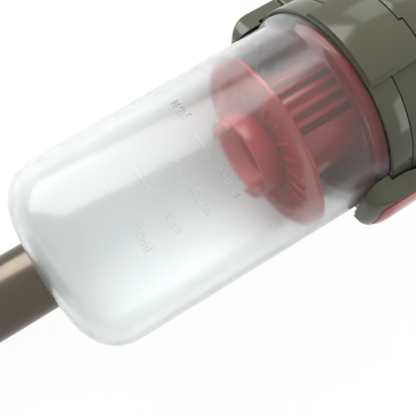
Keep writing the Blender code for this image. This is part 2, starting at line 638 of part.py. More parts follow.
def make_latches():
    """Both rockers, in a frame on each pin with x along the cup and z pointing outwards."""
    nose = LATCH_FRONT_X - LATCH_PIN_X
    tail = LATCH_BACK_X - LATCH_PIN_X
    top = LATCH_HEIGHT - LATCH_PIN_R
    claw_r = cup_radius(LATCH_FRONT_X) + CATCH_HEIGHT + GAP
    claw_end = nose + CLAW_LENGTH
    over_cup = claw_r + 2 * GAP
    over_ring = HEAD_RADIUS + 3 * GAP
    ring_start = HEAD_FRONT_X - CUT_OVER - LATCH_PIN_X
    low = sqrt(cup_radius(LATCH_FRONT_X) ** 2 - LATCH_BASE_HALF ** 2) - LATCH_PIN_R
    outline = [(nose, low), (tail, low), (tail, top)]
    outline += arc(nose + LATCH_NOSE_ROUND, top - LATCH_NOSE_ROUND, LATCH_NOSE_ROUND, 90, 170, 6)
    underside = [(nose - CUT_OVER, 0), (nose - CUT_OVER, claw_r), (claw_end, claw_r), (claw_end, over_cup),
                 (ring_start, over_ring), (0, over_ring), (tail + CUT_OVER, HEAD_RADIUS + LATCH_LIFT),
                 (tail + CUT_OVER, 0)]
    taper = (LATCH_BASE_HALF - LATCH_TOP_HALF) / (top - low)
    pad_low = (nose + PAD_FRONT_MARGIN, -LATCH_TOP_HALF + PAD_MARGIN, top - PAD_SINK)
    pad_high = (tail - PAD_MARGIN, LATCH_TOP_HALF - PAD_MARGIN, top + PAD_PROUD)
    grow = Vector((GAP, GAP, GAP))
    ear_half = EAR_RADIUS + EAR_SWING
    spring_x = tail - SPRING_INSET
    spring_top = top - SPRING_ROOF

    for side_name, side in (("left", 90), ("right", -90)):
        angle = radians(HEAD_TURN + side)
        spot = (LATCH_PIN_X, LATCH_PIN_R * sin(angle), LATCH_PIN_R * cos(angle))
        frame = empty("latch_frame_" + side_name, part, spot, -(HEAD_TURN + side))

        bm = prism(outline, -LATCH_BASE_HALF, LATCH_BASE_HALF, lambda a, b, h: (a, h, b))
        for v in bm.verts:
            v.co.y *= 1 - taper * (v.co.z - low) / LATCH_BASE_HALF
        latch = put("latch_" + side_name, bm, OLIVE, frame)
        under = turned(underside, ROUND, -LATCH_PIN_R)
        ear_room = repeat(lambda: block((-ear_half, -EAR_THICK / 2 - GAP, low - CUT_OVER),
                                        (ear_half, EAR_THICK / 2 + GAP, EAR_RADIUS + GAP)),
                          [Matrix.Translation((0, offset, 0)) for offset in (-EAR_OFFSET, EAR_OFFSET)])
        well = upright(spring_x, 0, low - CUT_OVER, spring_top, SPRING_RADIUS + 2 * GAP)
        combine(latch, "DIFFERENCE", put("under_" + side_name, under, OLIVE, frame),
                put("ear_room_" + side_name, ear_room, OLIVE, frame),
                put("pin_hole_" + side_name, pin_hole(LATCH_PIN_RADIUS + GAP, LATCH_PIN_HALF + 2 * GAP), OLIVE, frame),
                put("spring_well_" + side_name, well, OLIVE, frame),
                put("pad_room_" + side_name, block(Vector(pad_low) - grow, Vector(pad_high) + grow), OLIVE, frame))
        soften(put("latch_pad_" + side_name, block(pad_low, pad_high), RED_PAD, frame), 0.7 * MM, 2)
        put("latch_pin_" + side_name, pin_hole(LATCH_PIN_RADIUS, LATCH_PIN_HALF), STEEL, frame)
        put("latch_spring_" + side_name, coil(spring_x, HEAD_RADIUS + GAP - LATCH_PIN_R, spring_top - GAP), STEEL, frame)


def coil(x, low, high):
    """A closed helical wire with its axis along z."""
    per_turn = 10
    sides = 4
    rise = high - low - 2 * SPRING_WIRE
    count = SPRING_TURNS * per_turn
    bm = bmesh.new()
    rows = []
    for i in range(count + 1):
        a = 2 * pi * i / per_turn
        out = Vector((cos(a), sin(a), 0))
        centre = Vector((x, 0, low + SPRING_WIRE + rise * i / count)) + out * (SPRING_RADIUS - SPRING_WIRE)
        row = []
        for k in range(sides):
            b = 2 * pi * k / sides
            row.append(bm.verts.new(centre + out * (SPRING_WIRE * cos(b)) + Vector((0, 0, SPRING_WIRE * sin(b)))))
        rows.append(row)
    loops = [[bm.edges.new((row[k - 1], row[k])) for k in range(sides)] for row in rows]
    for first, second in zip(loops, loops[1:]):
        bmesh.ops.bridge_loops(bm, edges=first + second)
    bm.faces.new(rows[0])
    bm.faces.new(rows[-1])
    bmesh.ops.recalc_face_normals(bm, faces=bm.faces)
    return bm


def make_tube():
    tube = ring(TUBE_FAR_X, TUBE_END_X, TUBE_RADIUS - TUBE_WALL, TUBE_RADIUS, ROUND_SMALL)
    put("wand_tube", tube, TUBE_METAL, tube_frame)


def cross_rod(x, radius, half, segments=ROUND_SMALL):
    bm = bmesh.new()
    bmesh.ops.create_cone(bm, cap_ends=True, segments=segments, radius1=radius, radius2=radius, depth=2 * half,
                          matrix=Matrix.Translation((x, 0, 0)) @ Matrix.Rotation(pi / 2, 4, "X"))
    return bm


def make_neck():
    sleeve_x1 = TUBE_FAR_X + NECK_OVERLAP
    outer = TUBE_RADIUS + GAP + NECK_WALL
    neck = put("nozzle_neck", rod(HINGE_X, sleeve_x1, outer), OLIVE, tube_frame)
    barrel = put("barrel", cross_rod(HINGE_X, BARREL_RADIUS, BARREL_HALF, 40), OLIVE, tube_frame)
    combine(neck, "UNION", barrel)
    bore = put("neck_bore", rod(TUBE_FAR_X - GAP, sleeve_x1 + CUT_OVER, TUBE_RADIUS + GAP), OLIVE, tube_frame)
    flow = put("neck_flow", rod(HINGE_X - BARREL_RADIUS - CUT_OVER, TUBE_FAR_X, NECK_BORE), OLIVE, tube_frame)
    pins = put("neck_pins", cross_rod(HINGE_X, PIVOT_RADIUS + GAP, BARREL_HALF + CUT_OVER, 20), OLIVE, tube_frame)
    combine(neck, "DIFFERENCE", bore, flow, pins)


def nozzle_outline(inset):
    """Side view of the nozzle: low rounded front, top rising to the hinge, flat underneath."""
    lip_top = FLOOR_Z + NOZZLE_LIP_HEIGHT - inset
    rise_top = NOZZLE_RISE - inset
    nose = NOZZLE_FRONT_X + inset + NOZZLE_ROUND
    back = NOZZLE_BACK_X - inset
    points = [(back, PLATE_Z), (NOZZLE_FRONT_X + inset, PLATE_Z)]
    points += arc(nose, lip_top - NOZZLE_ROUND, NOZZLE_ROUND, 180, 105, 4)
    points += [(HINGE_X - NOZZLE_CREST, rise_top), (back, rise_top)]
    return points


def along_y(a, b, h):
    return (a, h, b)


def plate_screw_places():
    """The x, y and height of roof for each screw of the base plate."""
    inset = NOZZLE_WALL + PLATE_SCREW_INSET
    y = NOZZLE_WIDTH / 2 - inset
    front = (NOZZLE_FRONT_X + inset, FLOOR_Z + NOZZLE_LIP_HEIGHT - NOZZLE_WALL / 2)
    rear = (HOLLOW_END_X - PLATE_SCREW_INSET, NOZZLE_RISE - NOZZLE_WALL / 2)
    return [(x, side * y, roof) for x, roof in (front, rear) for side in (-1, 1)]


def make_nozzle():
    half = NOZZLE_WIDTH / 2
    body = put("nozzle_body", prism(nozzle_outline(0), -half, half, along_y), DARK, tube_frame)
    cheek = BARREL_HALF + CHEEK_GAP + CHEEK_THICK
    cheek_y = cheek - CHEEK_THICK / 2
    ears = repeat(pivot_cheek, [Matrix.Translation((0, y, 0)) for y in (-cheek_y, cheek_y)])
    seat = cross_rod(HINGE_X, BARREL_RADIUS + CHEEK_GAP, BARREL_HALF + CHEEK_GAP, 40)
    roof = nozzle_outline(NOZZLE_WALL)
    hollow_outline = [(HOLLOW_END_X, FLOOR_Z), (roof[1][0], FLOOR_Z)] + roof[2:-1] + [(HOLLOW_END_X, roof[-1][1])]
    hollow = prism(hollow_outline, -half + NOZZLE_WALL, half - NOZZLE_WALL, along_y)
    flow = rod(HOLLOW_END_X - CUT_OVER, HINGE_X, NECK_BORE)
    axle = cross_rod(HINGE_X, PIVOT_RADIUS + GAP, cheek + CUT_OVER, 20)
    combine(body, "UNION", put("cheeks", ears, DARK, tube_frame))
    combine(body, "DIFFERENCE", put("seat", seat, DARK, tube_frame), put("hollow", hollow, DARK, tube_frame),
            put("nozzle_flow", flow, DARK, tube_frame), put("axle_holes", axle, DARK, tube_frame))

    pin_half = (CHEEK_THICK + CHEEK_GAP + PIVOT_REACH) / 2
    for name, y in (("pivot_pin_right", -cheek + pin_half), ("pivot_pin_left", cheek - pin_half)):
        pin = cross_rod(HINGE_X, PIVOT_RADIUS, pin_half, 20)
        pin.transform(Matrix.Translation((0, y, 0)))
        put(name, pin, STEEL, tube_frame)

    plate_x0 = NOZZLE_FRONT_X + NOZZLE_WALL + GAP
    plate_x1 = HOLLOW_END_X - GAP
    plate_top = PLATE_Z + PLATE_THICK
    plate_half = half - NOZZLE_WALL - GAP
    plate = put("nozzle_plate", block((plate_x0, -plate_half, PLATE_Z), (plate_x1, plate_half, plate_top)), DARK,
                tube_frame)
    mouth_x = (plate_x0 + plate_x1) / 2
    mouth_half = plate_half - MOUTH_SIDE
    mouth = block((mouth_x - MOUTH_LENGTH / 2, -mouth_half, PLATE_Z - CUT_OVER),
                  (mouth_x + MOUTH_LENGTH / 2, mouth_half, plate_top + CUT_OVER))
    cutters = [put("mouth_cutter", mouth, DARK, tube_frame)]
    offset = MOUTH_LENGTH / 2 + SQUEEGEE_THICK / 2 + SQUEEGEE_LAND
    thick = SQUEEGEE_THICK / 2
    for name, x in (("front_squeegee", mouth_x - offset), ("rear_squeegee", mouth_x + offset)):
        lip = block((x - thick, -mouth_half, FLOOR_Z), (x + thick, mouth_half, FLOOR_Z + SQUEEGEE_HEIGHT))
        soften(put(name, lip, RUBBER, tube_frame), 0.4 * MM, 1)
        groove = block((x - thick - GAP, -mouth_half - GAP, PLATE_Z - CUT_OVER),
                       (x + thick + GAP, mouth_half + GAP, plate_top + CUT_OVER))
        cutters.append(put(name + "_groove", groove, DARK, tube_frame))

    places = [Matrix.Translation((x, y, 0)) for x, y, roof in plate_screw_places()]
    head_top = PLATE_Z + PLATE_SCREW_HEAD_HEIGHT
    tip = head_top + PLATE_SCREW_LENGTH
    bosses = [put("plate_boss", upright(x, y, plate_top + GAP, roof, PLATE_BOSS_RADIUS), DARK, tube_frame)
              for x, y, roof in plate_screw_places()]
    pilots = repeat(lambda: upright(0, 0, PLATE_Z, tip + GAP, PLATE_SCREW_RADIUS + GAP, 12), places)
    combine(body, "UNION", *bosses)
    combine(body, "DIFFERENCE", put("plate_pilots", pilots, DARK, tube_frame))
    holes = repeat(lambda: upright(0, 0, PLATE_Z - CUT_OVER, plate_top + CUT_OVER, PLATE_SCREW_RADIUS + GAP, 12), places)
    sinks = repeat(lambda: upright(0, 0, PLATE_Z - CUT_OVER, head_top + GAP, PLATE_SCREW_HEAD + GAP, 12), places)
    cutters += [put("plate_holes", holes, DARK, tube_frame), put("plate_sinks", sinks, DARK, tube_frame)]
    combine(plate, "DIFFERENCE", *cutters)
    shape = [(PLATE_Z, 0), (PLATE_Z, PLATE_SCREW_HEAD), (head_top, PLATE_SCREW_HEAD), (head_top, PLATE_SCREW_RADIUS),
             (tip, PLATE_SCREW_RADIUS), (tip, 0)]
    for i, place in enumerate(places):
        bm = turned(shape, 12)
        bm.transform(place @ Matrix.Rotation(-pi / 2, 4, "Y"))
        put(f"plate_screw_{i + 1}", bm, STEEL, tube_frame)


def pivot_cheek():
    """A round-ended arm that carries one pivot pin, with a skid under it."""
    x0 = HINGE_X - NOZZLE_CREST
    skid_x = HINGE_X + CHEEK_RADIUS * cos(radians(SKID_CORNER))
    outline = [(x0, FLOOR_Z), (skid_x - SKID_CHAMFER, FLOOR_Z), (skid_x, FLOOR_Z + SKID_CHAMFER)]
    outline += arc(HINGE_X, 0, CHEEK_RADIUS, SKID_CORNER, 90, 6)
    outline += [(x0, CHEEK_RADIUS)]
    return prism(outline, -CHEEK_THICK / 2, CHEEK_THICK / 2, along_y)


make_cup()
make_separator()
make_ring()
make_head_body()
make_dome()
make_elbow()
make_outlet()
make_covers()
make_latches()
make_tube()
make_neck()
make_nozzle()
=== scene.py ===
"""Looks of the wet cleaning head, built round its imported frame.

Lengths are metres and angles degrees. Most pieces are drawn in the cup's own layout, where x runs from the
closed base of the cup to the head and z points away from the tube, and are then moved to their place in the
frame.
"""
from math import asin, atan2, cos, degrees, pi, radians, sin, sqrt, tan

import bmesh
import bpy
from mathutils import Matrix, Vector


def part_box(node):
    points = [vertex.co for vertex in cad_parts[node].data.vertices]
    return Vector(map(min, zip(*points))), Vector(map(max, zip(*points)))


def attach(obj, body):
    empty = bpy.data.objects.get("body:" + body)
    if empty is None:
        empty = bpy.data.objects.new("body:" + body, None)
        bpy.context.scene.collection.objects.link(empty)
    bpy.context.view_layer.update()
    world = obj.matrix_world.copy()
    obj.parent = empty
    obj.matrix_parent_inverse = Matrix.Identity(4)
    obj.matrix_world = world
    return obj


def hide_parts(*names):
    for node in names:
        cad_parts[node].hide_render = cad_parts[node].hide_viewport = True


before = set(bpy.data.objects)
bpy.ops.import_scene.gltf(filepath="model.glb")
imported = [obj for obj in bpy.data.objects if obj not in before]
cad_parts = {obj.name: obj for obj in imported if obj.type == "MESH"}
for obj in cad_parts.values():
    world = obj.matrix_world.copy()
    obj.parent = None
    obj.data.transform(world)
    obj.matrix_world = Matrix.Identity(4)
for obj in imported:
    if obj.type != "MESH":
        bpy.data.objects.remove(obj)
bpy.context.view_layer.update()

MM = 0.001
GAP = 0.3 * MM

# Sizes shared with the solids
CUP_LENGTH = 128.0 * MM
CUP_RADIUS = 37.9 * MM
CUP_DRAFT = 1.02
CUP_CORNER = 16.9 * MM
CUP_WALL = 1.6 * MM
HEAD_TURN = 22.0
HEAD_FRONT_X = 120.8 * MM
HEAD_RADIUS = 43.0 * MM
RING_LENGTH = 8.9 * MM
BODY_LENGTH = 22.0 * MM
DOME_LENGTH = 36.0 * MM
DOME_POWER = 2.2
OUTLET_RADIUS = 17.5 * MM
OUTLET_FLANGE = 3.0 * MM
OUTLET_LENGTH = 30.0 * MM
OUTLET_WALL = 2.0 * MM
HEAD_WALL = 2.5 * MM
SOCKET_DEPTH = 10.5 * MM
TUBE_RADIUS = 17.5 * MM
TUBE_DROP = 63.0 * MM
SOCKET_RADIUS = 20.8 * MM
CAGE_RADIUS = 21.3 * MM
RIBS_ROUND = 26
CAGE_PITCH = 360.0 / RIBS_ROUND
COVER_HALF_ANGLE = 24.0
COVER_LENGTH = 20.7 * MM
COVER_STEP = 1.4 * MM
COVER_STEP_AT = 5.5
LATCH_PIN_X = 125.4 * MM
LATCH_FRONT_X = 109.0 * MM
LATCH_BACK_X = 133.2 * MM
LATCH_RADIUS = 50.0 * MM
LATCH_HALF_LOW = 14.2 * MM
LATCH_HALF_HIGH = 12.0 * MM
LATCH_CORNER = 7.0 * MM
NOSE_LENGTH = 10.0 * MM
NOSE_DROP = 7.0 * MM
COLLAR_X = 114.5 * MM
COLLAR_END_X = 119.5 * MM
COLLAR_HEIGHT = 1.6 * MM
HINGE_X = -190.0 * MM
NOZZLE_WIDTH = 220.0 * MM
NOZZLE_DEPTH = 66.0 * MM
SEAL_WIDTH = 2.0 * MM
SEAL_DEPTH = 1.3 * MM

BODY_X = HEAD_FRONT_X + RING_LENGTH + GAP
BODY_END_X = BODY_X + BODY_LENGTH
DOME_X = BODY_END_X + GAP
DOME_END_X = DOME_X + DOME_LENGTH
COVER_INNER = HEAD_RADIUS + GAP
COVER_THICK = 1.8 * MM
COVER_OUTER = COVER_INNER + COVER_THICK
LATCH_PIN_OUT = 3.0 * MM
LATCH_PIN_R = HEAD_RADIUS + LATCH_PIN_OUT
FOOT_HEIGHT = 4.0 * MM
FLOOR_Z = -SOCKET_RADIUS - FOOT_HEIGHT

# Places in the frame
CUP_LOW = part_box("water_cup")[0]
AXIS_HEIGHT = TUBE_DROP - FLOOR_Z
CUP_PLACE = Matrix.Translation((CUP_LOW.x, 0, AXIS_HEIGHT))
HEAD_PLACE = CUP_PLACE @ Matrix.Rotation(radians(-HEAD_TURN), 4, "X")
TUBE_PLACE = CUP_PLACE @ Matrix.Translation((0, 0, -TUBE_DROP))
SIDES = (("left", 90), ("right", -90))

FINE = 128
ROUND = 64


def cup_radius(x):
    """Outer radius of the cup at x, on its drafted wall."""
    return CUP_RADIUS + (x - CUP_CORNER) * tan(radians(CUP_DRAFT))


def cup_bore(x):
    return cup_radius(x) - CUP_WALL


COLLAR_RADIUS = cup_radius(CUP_LENGTH) + COLLAR_HEIGHT
RING_BORE = COLLAR_RADIUS + GAP


# Camera, lamps and floor

CAMERA_SPOT = (44.33 * MM, 2.79 * MM, 291.64 * MM)
CAMERA_RIGHT = Vector((0.84111, -0.50789, 0.18595))
CAMERA_BACK = Vector((-0.17977, 0.06173, 0.98177))
CAMERA_LENS = 46.88


def aim(right, back, spot):
    back = back.normalized()
    up = back.cross(right).normalized()
    right = up.cross(back)
    turn = Matrix((right, up, back)).transposed().to_4x4()
    return Matrix.Translation(spot) @ turn


lens = bpy.data.cameras.new("photo_camera")
lens.lens = CAMERA_LENS
lens.sensor_width = 36.0
lens.clip_start = 0.01
camera = bpy.data.objects.new("photo_camera", lens)
camera.matrix_world = aim(CAMERA_RIGHT, CAMERA_BACK, CAMERA_SPOT)
bpy.context.scene.collection.objects.link(camera)
bpy.context.scene.camera = camera
bpy.context.scene.view_settings.view_transform = "Standard"


def soft_box(name, spot, target, size, power):
    """A large area lamp that faces its target."""
    lamp = bpy.data.lights.new(name, "AREA")
    lamp.shape = "RECTANGLE"
    lamp.size, lamp.size_y = size
    lamp.energy = power
    box = bpy.data.objects.new(name, lamp)
    back = Vector(spot) - Vector(target)
    box.matrix_world = aim(back.orthogonal(), back, spot)
    bpy.context.scene.collection.objects.link(box)


MIDDLE = (0.08, 0, 0.09)
FLOOR_SHARE = 0.94
soft_box("key_box", (-0.10, 1.05, 0.46), MIDDLE, (2.0, 0.8), 32.0)
soft_box("fill_box", (0.85, -0.55, 0.60), MIDDLE, (0.5, 0.4), 2.0)
soft_box("back_box", (0.80, 0.60, 0.35), MIDDLE, (0.5, 0.3), 1.0)


def seen_directly(tree):
    """1 for camera, glossy and transmission rays, 0 for the rays that carry light."""
    nodes, links = tree.nodes, tree.links
    path = nodes.new("ShaderNodeLightPath")
    seen = nodes.new("ShaderNodeMath")
    seen.operation = "MAXIMUM"
    links.new(path.outputs["Is Camera Ray"], seen.inputs[0])
    links.new(path.outputs["Is Glossy Ray"], seen.inputs[1])
    through = nodes.new("ShaderNodeMath")
    through.operation = "MAXIMUM"
    links.new(seen.outputs[0], through.inputs[0])
    links.new(path.outputs["Is Transmission Ray"], through.inputs[1])
    return through.outputs[0]


def white_where_seen(tree, shader, share):
    """Mix plain white into a shader for the rays that show the backdrop."""
    nodes, links = tree.nodes, tree.links
    weight = nodes.new("ShaderNodeMath")
    weight.operation = "MULTIPLY"
    weight.inputs[1].default_value = share
    links.new(seen_directly(tree), weight.inputs[0])
    white = nodes.new("ShaderNodeEmission")
    mix = nodes.new("ShaderNodeMixShader")
    links.new(weight.outputs[0], mix.inputs[0])
    links.new(shader, mix.inputs[1])
    links.new(white.outputs[0], mix.inputs[2])
    return mix.outputs[0]


WORLD_LEVEL = 0.95
world = bpy.data.worlds.new("studio")
world.use_nodes = True
bpy.context.scene.world = world
sky = world.node_tree.nodes["Background"]
sky.inputs["Color"].default_value = (1.0, 1.0, 1.0, 1.0)
level = world.node_tree.nodes.new("ShaderNodeMix")
level.data_type = "FLOAT"
level.inputs["A"].default_value = WORLD_LEVEL
level.inputs["B"].default_value = 1.0
world.node_tree.links.new(seen_directly(world.node_tree), level.inputs["Factor"])
world.node_tree.links.new(level.outputs["Result"], sky.inputs["Strength"])

floor_bm = bmesh.new()
bmesh.ops.create_grid(floor_bm, x_segments=1, y_segments=1, size=4.0)
floor_mesh = bpy.data.meshes.new("floor")
floor_bm.to_mesh(floor_mesh)
floor_bm.free()
floor = bpy.data.objects.new("floor", floor_mesh)
bpy.context.scene.collection.objects.link(floor)
paper = bpy.data.materials.new("white_paper")
paper.use_nodes = True
paper.node_tree.nodes["Principled BSDF"].inputs["Base Color"].default_value = (0.86, 0.87, 0.87, 1.0)
paper.node_tree.nodes["Principled BSDF"].inputs["Roughness"].default_value = 0.9
out = paper.node_tree.nodes["Material Output"]
plain = paper.node_tree.nodes["Principled BSDF"].outputs[0]
paper.node_tree.links.new(white_where_seen(paper.node_tree, plain, FLOOR_SHARE), out.inputs["Surface"])
floor_mesh.materials.append(paper)


# Materials

def grain_group():
    """Shared moulded surface: fine grain as bump and slow smudges in the roughness."""
    group = bpy.data.node_groups.new("moulded_grain", "ShaderNodeTree")
    face = group.interface
    face.new_socket("Scale", in_out="INPUT", socket_type="NodeSocketFloat").default_value = 2500.0
    face.new_socket("Depth", in_out="INPUT", socket_type="NodeSocketFloat").default_value = 0.02
    face.new_socket("Rough Low", in_out="INPUT", socket_type="NodeSocketFloat").default_value = 0.2
    face.new_socket("Rough High", in_out="INPUT", socket_type="NodeSocketFloat").default_value = 0.3
    face.new_socket("Roughness", in_out="OUTPUT", socket_type="NodeSocketFloat")
    face.new_socket("Smudge", in_out="OUTPUT", socket_type="NodeSocketFloat")
    face.new_socket("Normal", in_out="OUTPUT", socket_type="NodeSocketVector")
    nodes, links = group.nodes, group.links
    given = nodes.new("NodeGroupInput")
    made = nodes.new("NodeGroupOutput")
    coords = nodes.new("ShaderNodeTexCoord")
    fine = nodes.new("ShaderNodeTexNoise")
    fine.inputs["Detail"].default_value = 3.0
    links.new(coords.outputs["Object"], fine.inputs["Vector"])
    links.new(given.outputs["Scale"], fine.inputs["Scale"])
    bump = nodes.new("ShaderNodeBump")
    bump.inputs["Distance"].default_value = 0.2 * MM
    links.new(given.outputs["Depth"], bump.inputs["Strength"])
    links.new(fine.outputs["Fac"], bump.inputs["Height"])
    links.new(bump.outputs["Normal"], made.inputs["Normal"])
    smudge = nodes.new("ShaderNodeTexNoise")
    smudge.inputs["Scale"].default_value = 55.0
    smudge.inputs["Detail"].default_value = 5.0
    smudge.inputs["Roughness"].default_value = 0.6
    links.new(coords.outputs["Object"], smudge.inputs["Vector"])
    rough = nodes.new("ShaderNodeMapRange")
    rough.inputs["From Min"].default_value = 0.3
    rough.inputs["From Max"].default_value = 0.7
    links.new(smudge.outputs["Fac"], rough.inputs["Value"])
    links.new(given.outputs["Rough Low"], rough.inputs["To Min"])
    links.new(given.outputs["Rough High"], rough.inputs["To Max"])
    links.new(rough.outputs["Result"], made.inputs["Roughness"])
    links.new(smudge.outputs["Fac"], made.inputs["Smudge"])
    return group


GRAIN = grain_group()


def material(name, color, shade, rough, scale=2500.0, depth=0.02, **sockets):
    """A moulded or drawn surface: colour varies between two near tones, over the shared grain."""
    mat = bpy.data.materials.new(name)
    mat.use_nodes = True
    nodes, links = mat.node_tree.nodes, mat.node_tree.links
    shader = nodes["Principled BSDF"]
    grain = nodes.new("ShaderNodeGroup")
    grain.node_tree = GRAIN
    grain.inputs["Scale"].default_value = scale
    grain.inputs["Depth"].default_value = depth
    grain.inputs["Rough Low"].default_value = rough[0]
    grain.inputs["Rough High"].default_value = rough[1]
    tone = nodes.new("ShaderNodeMix")
    tone.data_type = "RGBA"
    tone.inputs["A"].default_value = (*color, 1.0)
    tone.inputs["B"].default_value = (*shade, 1.0)
    links.new(grain.outputs["Smudge"], tone.inputs["Factor"])
    links.new(tone.outputs["Result"], shader.inputs["Base Color"])
    links.new(grain.outputs["Roughness"], shader.inputs["Roughness"])
    links.new(grain.outputs["Normal"], shader.inputs["Normal"])
    for socket, value in sockets.items():
        shader.inputs[socket.replace("_", " ")].default_value = value
    return mat


HAZE_DEPTH = 25.0 * MM
HAZE_GAIN = 0.45


def frosted_wall(name, clear):
    """Frosted cup wall, which lets the share clear through and gets rougher towards the tube."""
    mat = material(name, (0.96, 0.98, 0.975), (0.93, 0.96, 0.96), (0.13, 0.17), 2200.0, 0.03,
                   Transmission_Weight=clear, IOR=1.33)
    nodes, links = mat.node_tree.nodes, mat.node_tree.links
    shader = nodes["Principled BSDF"]
    grained = shader.inputs["Roughness"].links[0].from_socket
    coords = nodes.new("ShaderNodeTexCoord")
    split = nodes.new("ShaderNodeSeparateXYZ")
    haze = nodes.new("ShaderNodeMapRange")
    haze.inputs["From Min"].default_value = AXIS_HEIGHT
    haze.inputs["From Max"].default_value = AXIS_HEIGHT - HAZE_DEPTH
    haze.inputs["To Max"].default_value = HAZE_GAIN
    rough = nodes.new("ShaderNodeMath")
    links.new(coords.outputs["Object"], split.inputs[0])
    links.new(split.outputs["Z"], haze.inputs["Value"])
    links.new(haze.outputs["Result"], rough.inputs[0])
    links.new(grained, rough.inputs[1])
    links.new(rough.outputs[0], shader.inputs["Roughness"])
    return mat


FROSTED = frosted_wall("frosted_plastic", 0.98)
# Angles round the cup's axis where the wall gets milkier towards the tube, with its transmission from there
MILKY_STEPS = ((38, 0.95), (52, 0.92), (66, 0.90), (80, 0.86), (95, 0.80), (114, 0.22))
MILKY = [(angle, frosted_wall(f"frosted_plastic_{angle}", clear)) for angle, clear in MILKY_STEPS]
RED_CLEAR = material("clear_red", (0.50, 0.009, 0.009), (0.38, 0.005, 0.006), (0.16, 0.26), 1200.0, 0.01,
                     Transmission_Weight=0.35, IOR=1.45)
# Paler copy of the clear red: painted light on the inside faces of the drop tube's mouth
RED_PAINTED_LIGHT = material("clear_red_painted_light", (0.78, 0.24, 0.24), (0.70, 0.19, 0.19), (0.2, 0.3), 1200.0, 0.01)
# Dark red of the latch inlays; the same material is also painted shade on the separator's flange and skirt,
# standing in for the collar's shadow
RED_INLAY_AND_SKIRT_SHADE = material("red_inlay_and_skirt_shade", (0.26, 0.004, 0.006), (0.19, 0.003, 0.004), (0.08, 0.14), 1500.0, 0.01,
                     IOR=1.36)
OLIVE = material("olive_shell", (0.060, 0.060, 0.040), (0.046, 0.046, 0.030), (0.10, 0.16), 3000.0, 0.012,
                 IOR=1.36)
OLIVE_DARK = material("olive_duct", (0.070, 0.068, 0.052), (0.052, 0.050, 0.040), (0.30, 0.42), 2400.0, 0.05)
RUBBER = material("black_rubber", (0.022, 0.022, 0.021), (0.014, 0.014, 0.013), (0.62, 0.78), 3500.0, 0.08)
STEEL = material("screw_steel", (0.62, 0.61, 0.59), (0.50, 0.49, 0.47), (0.22, 0.38), 4000.0, 0.03,
                 Metallic=1.0)
SHELL = material("nozzle_shell", (0.045, 0.046, 0.045), (0.034, 0.035, 0.034), (0.38, 0.5), 3800.0, 0.10)


def drawn_tube():
    """Bronze-grey tube with fine drawing lines along its length."""
    mat = material("drawn_tube", (0.105, 0.088, 0.068), (0.082, 0.068, 0.053), (0.20, 0.28), 2600.0, 0.01,
                   Metallic=0.85)
    nodes, links = mat.node_tree.nodes, mat.node_tree.links
    coords = nodes.new("ShaderNodeTexCoord")
    stretch = nodes.new("ShaderNodeMapping")
    stretch.inputs["Scale"].default_value = (6.0, 1400.0, 1400.0)
    lines = nodes.new("ShaderNodeTexNoise")
    lines.inputs["Scale"].default_value = 1.0
    lines.inputs["Detail"].default_value = 2.0
    bump = nodes.new("ShaderNodeBump")
    bump.inputs["Strength"].default_value = 0.06
    bump.inputs["Distance"].default_value = 0.1 * MM
    links.new(coords.outputs["Object"], stretch.inputs["Vector"])
    links.new(stretch.outputs["Vector"], lines.inputs["Vector"])
    links.new(lines.outputs["Fac"], bump.inputs["Height"])
    links.new(bump.outputs["Normal"], nodes["Principled BSDF"].inputs["Normal"])
    return mat


TUBE_METAL = drawn_tube()


# Mesh tools

def finish_piece(name, bm, place, look, body, slot, *stands_for, sharp=32.0):
    """Link a finished mesh in the frame, with its look, its body and the nodes it stands for."""
    bm.transform(place)
    bmesh.ops.recalc_face_normals(bm, faces=bm.faces)
    mesh = bpy.data.meshes.new(name)
    bm.to_mesh(mesh)
    bm.free()
    mesh.shade_smooth()
    mesh.set_sharp_from_angle(angle=radians(sharp))
    mesh.materials.append(look)
    thing = bpy.data.objects.new(name, mesh)
    bpy.context.scene.collection.objects.link(thing)
    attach(thing, body)
    if stands_for:
        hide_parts(*stands_for)
    return thing


def repaint(thing, looks, pick):
    """Add looks to a piece and give each face the one that pick(spot, normal) counts to, from its first."""
    for look in looks:
        thing.data.materials.append(look)
    back = CUP_PLACE.inverted()
    for face in thing.data.polygons:
        face.material_index = pick(back @ face.center, face.normal)


def off_axis(spot):
    return Vector((0, spot.y, spot.z))


def smooth(t):
    """Rises from 0 to 1 with a level start and end."""
    return t * t * (3 - 2 * t)


def rounded(corners, steps=4):
    """Round the corners of a closed outline; each corner is (a, b, radius)."""
    points = []
    count = len(corners)
    for i, (a, b, radius) in enumerate(corners):
        here = Vector((a, b))
        if radius <= 0:
            points.append((a, b))
            continue
        before = Vector(corners[i - 1][:2]) - here
        after = Vector(corners[(i + 1) % count][:2]) - here
        half = before.angle(after) / 2
        reach = min(radius / tan(half), before.length * 0.49, after.length * 0.49)
        radius = reach * tan(half)
        centre = here + (before.normalized() + after.normalized()).normalized() * (radius / sin(half))
        start = here + before.normalized() * reach - centre
        end = here + after.normalized() * reach - centre
        turn = start.angle_signed(end)
        for k in range(steps + 1):
            spoke = start.copy()
            spoke.rotate(Matrix.Rotation(-turn * k / steps, 2))
            points.append(tuple(centre + spoke))
    return points


def turned(profile, segments=FINE, axis_z=0.0):
    """Spin a closed profile of (x, radius) points round the x axis."""
    bm = bmesh.new()
    verts = [bm.verts.new((x, 0, r + axis_z)) for x, r in profile]
    edges = [bm.edges.new((verts[i - 1], verts[i])) for i in range(len(verts))]
    bmesh.ops.spin(bm, geom=verts + edges, cent=(0, 0, axis_z), axis=(1, 0, 0), angle=2 * pi,
                   steps=segments, use_merge=True)
    bmesh.ops.remove_doubles(bm, verts=bm.verts, dist=1e-7)
    bmesh.ops.dissolve_degenerate(bm, edges=bm.edges, dist=1e-7)
    bmesh.ops.delete(bm, geom=[e for e in bm.edges if e.is_wire], context="EDGES")
    bmesh.ops.recalc_face_normals(bm, faces=bm.faces)
    return bm


def ring(x0, x1, inner, outer, edge, segments=FINE):
    corners = [(x0, inner), (x0, outer), (x1, outer), (x1, inner)]
    return turned(rounded([(x, r, edge) for x, r in corners]), segments)


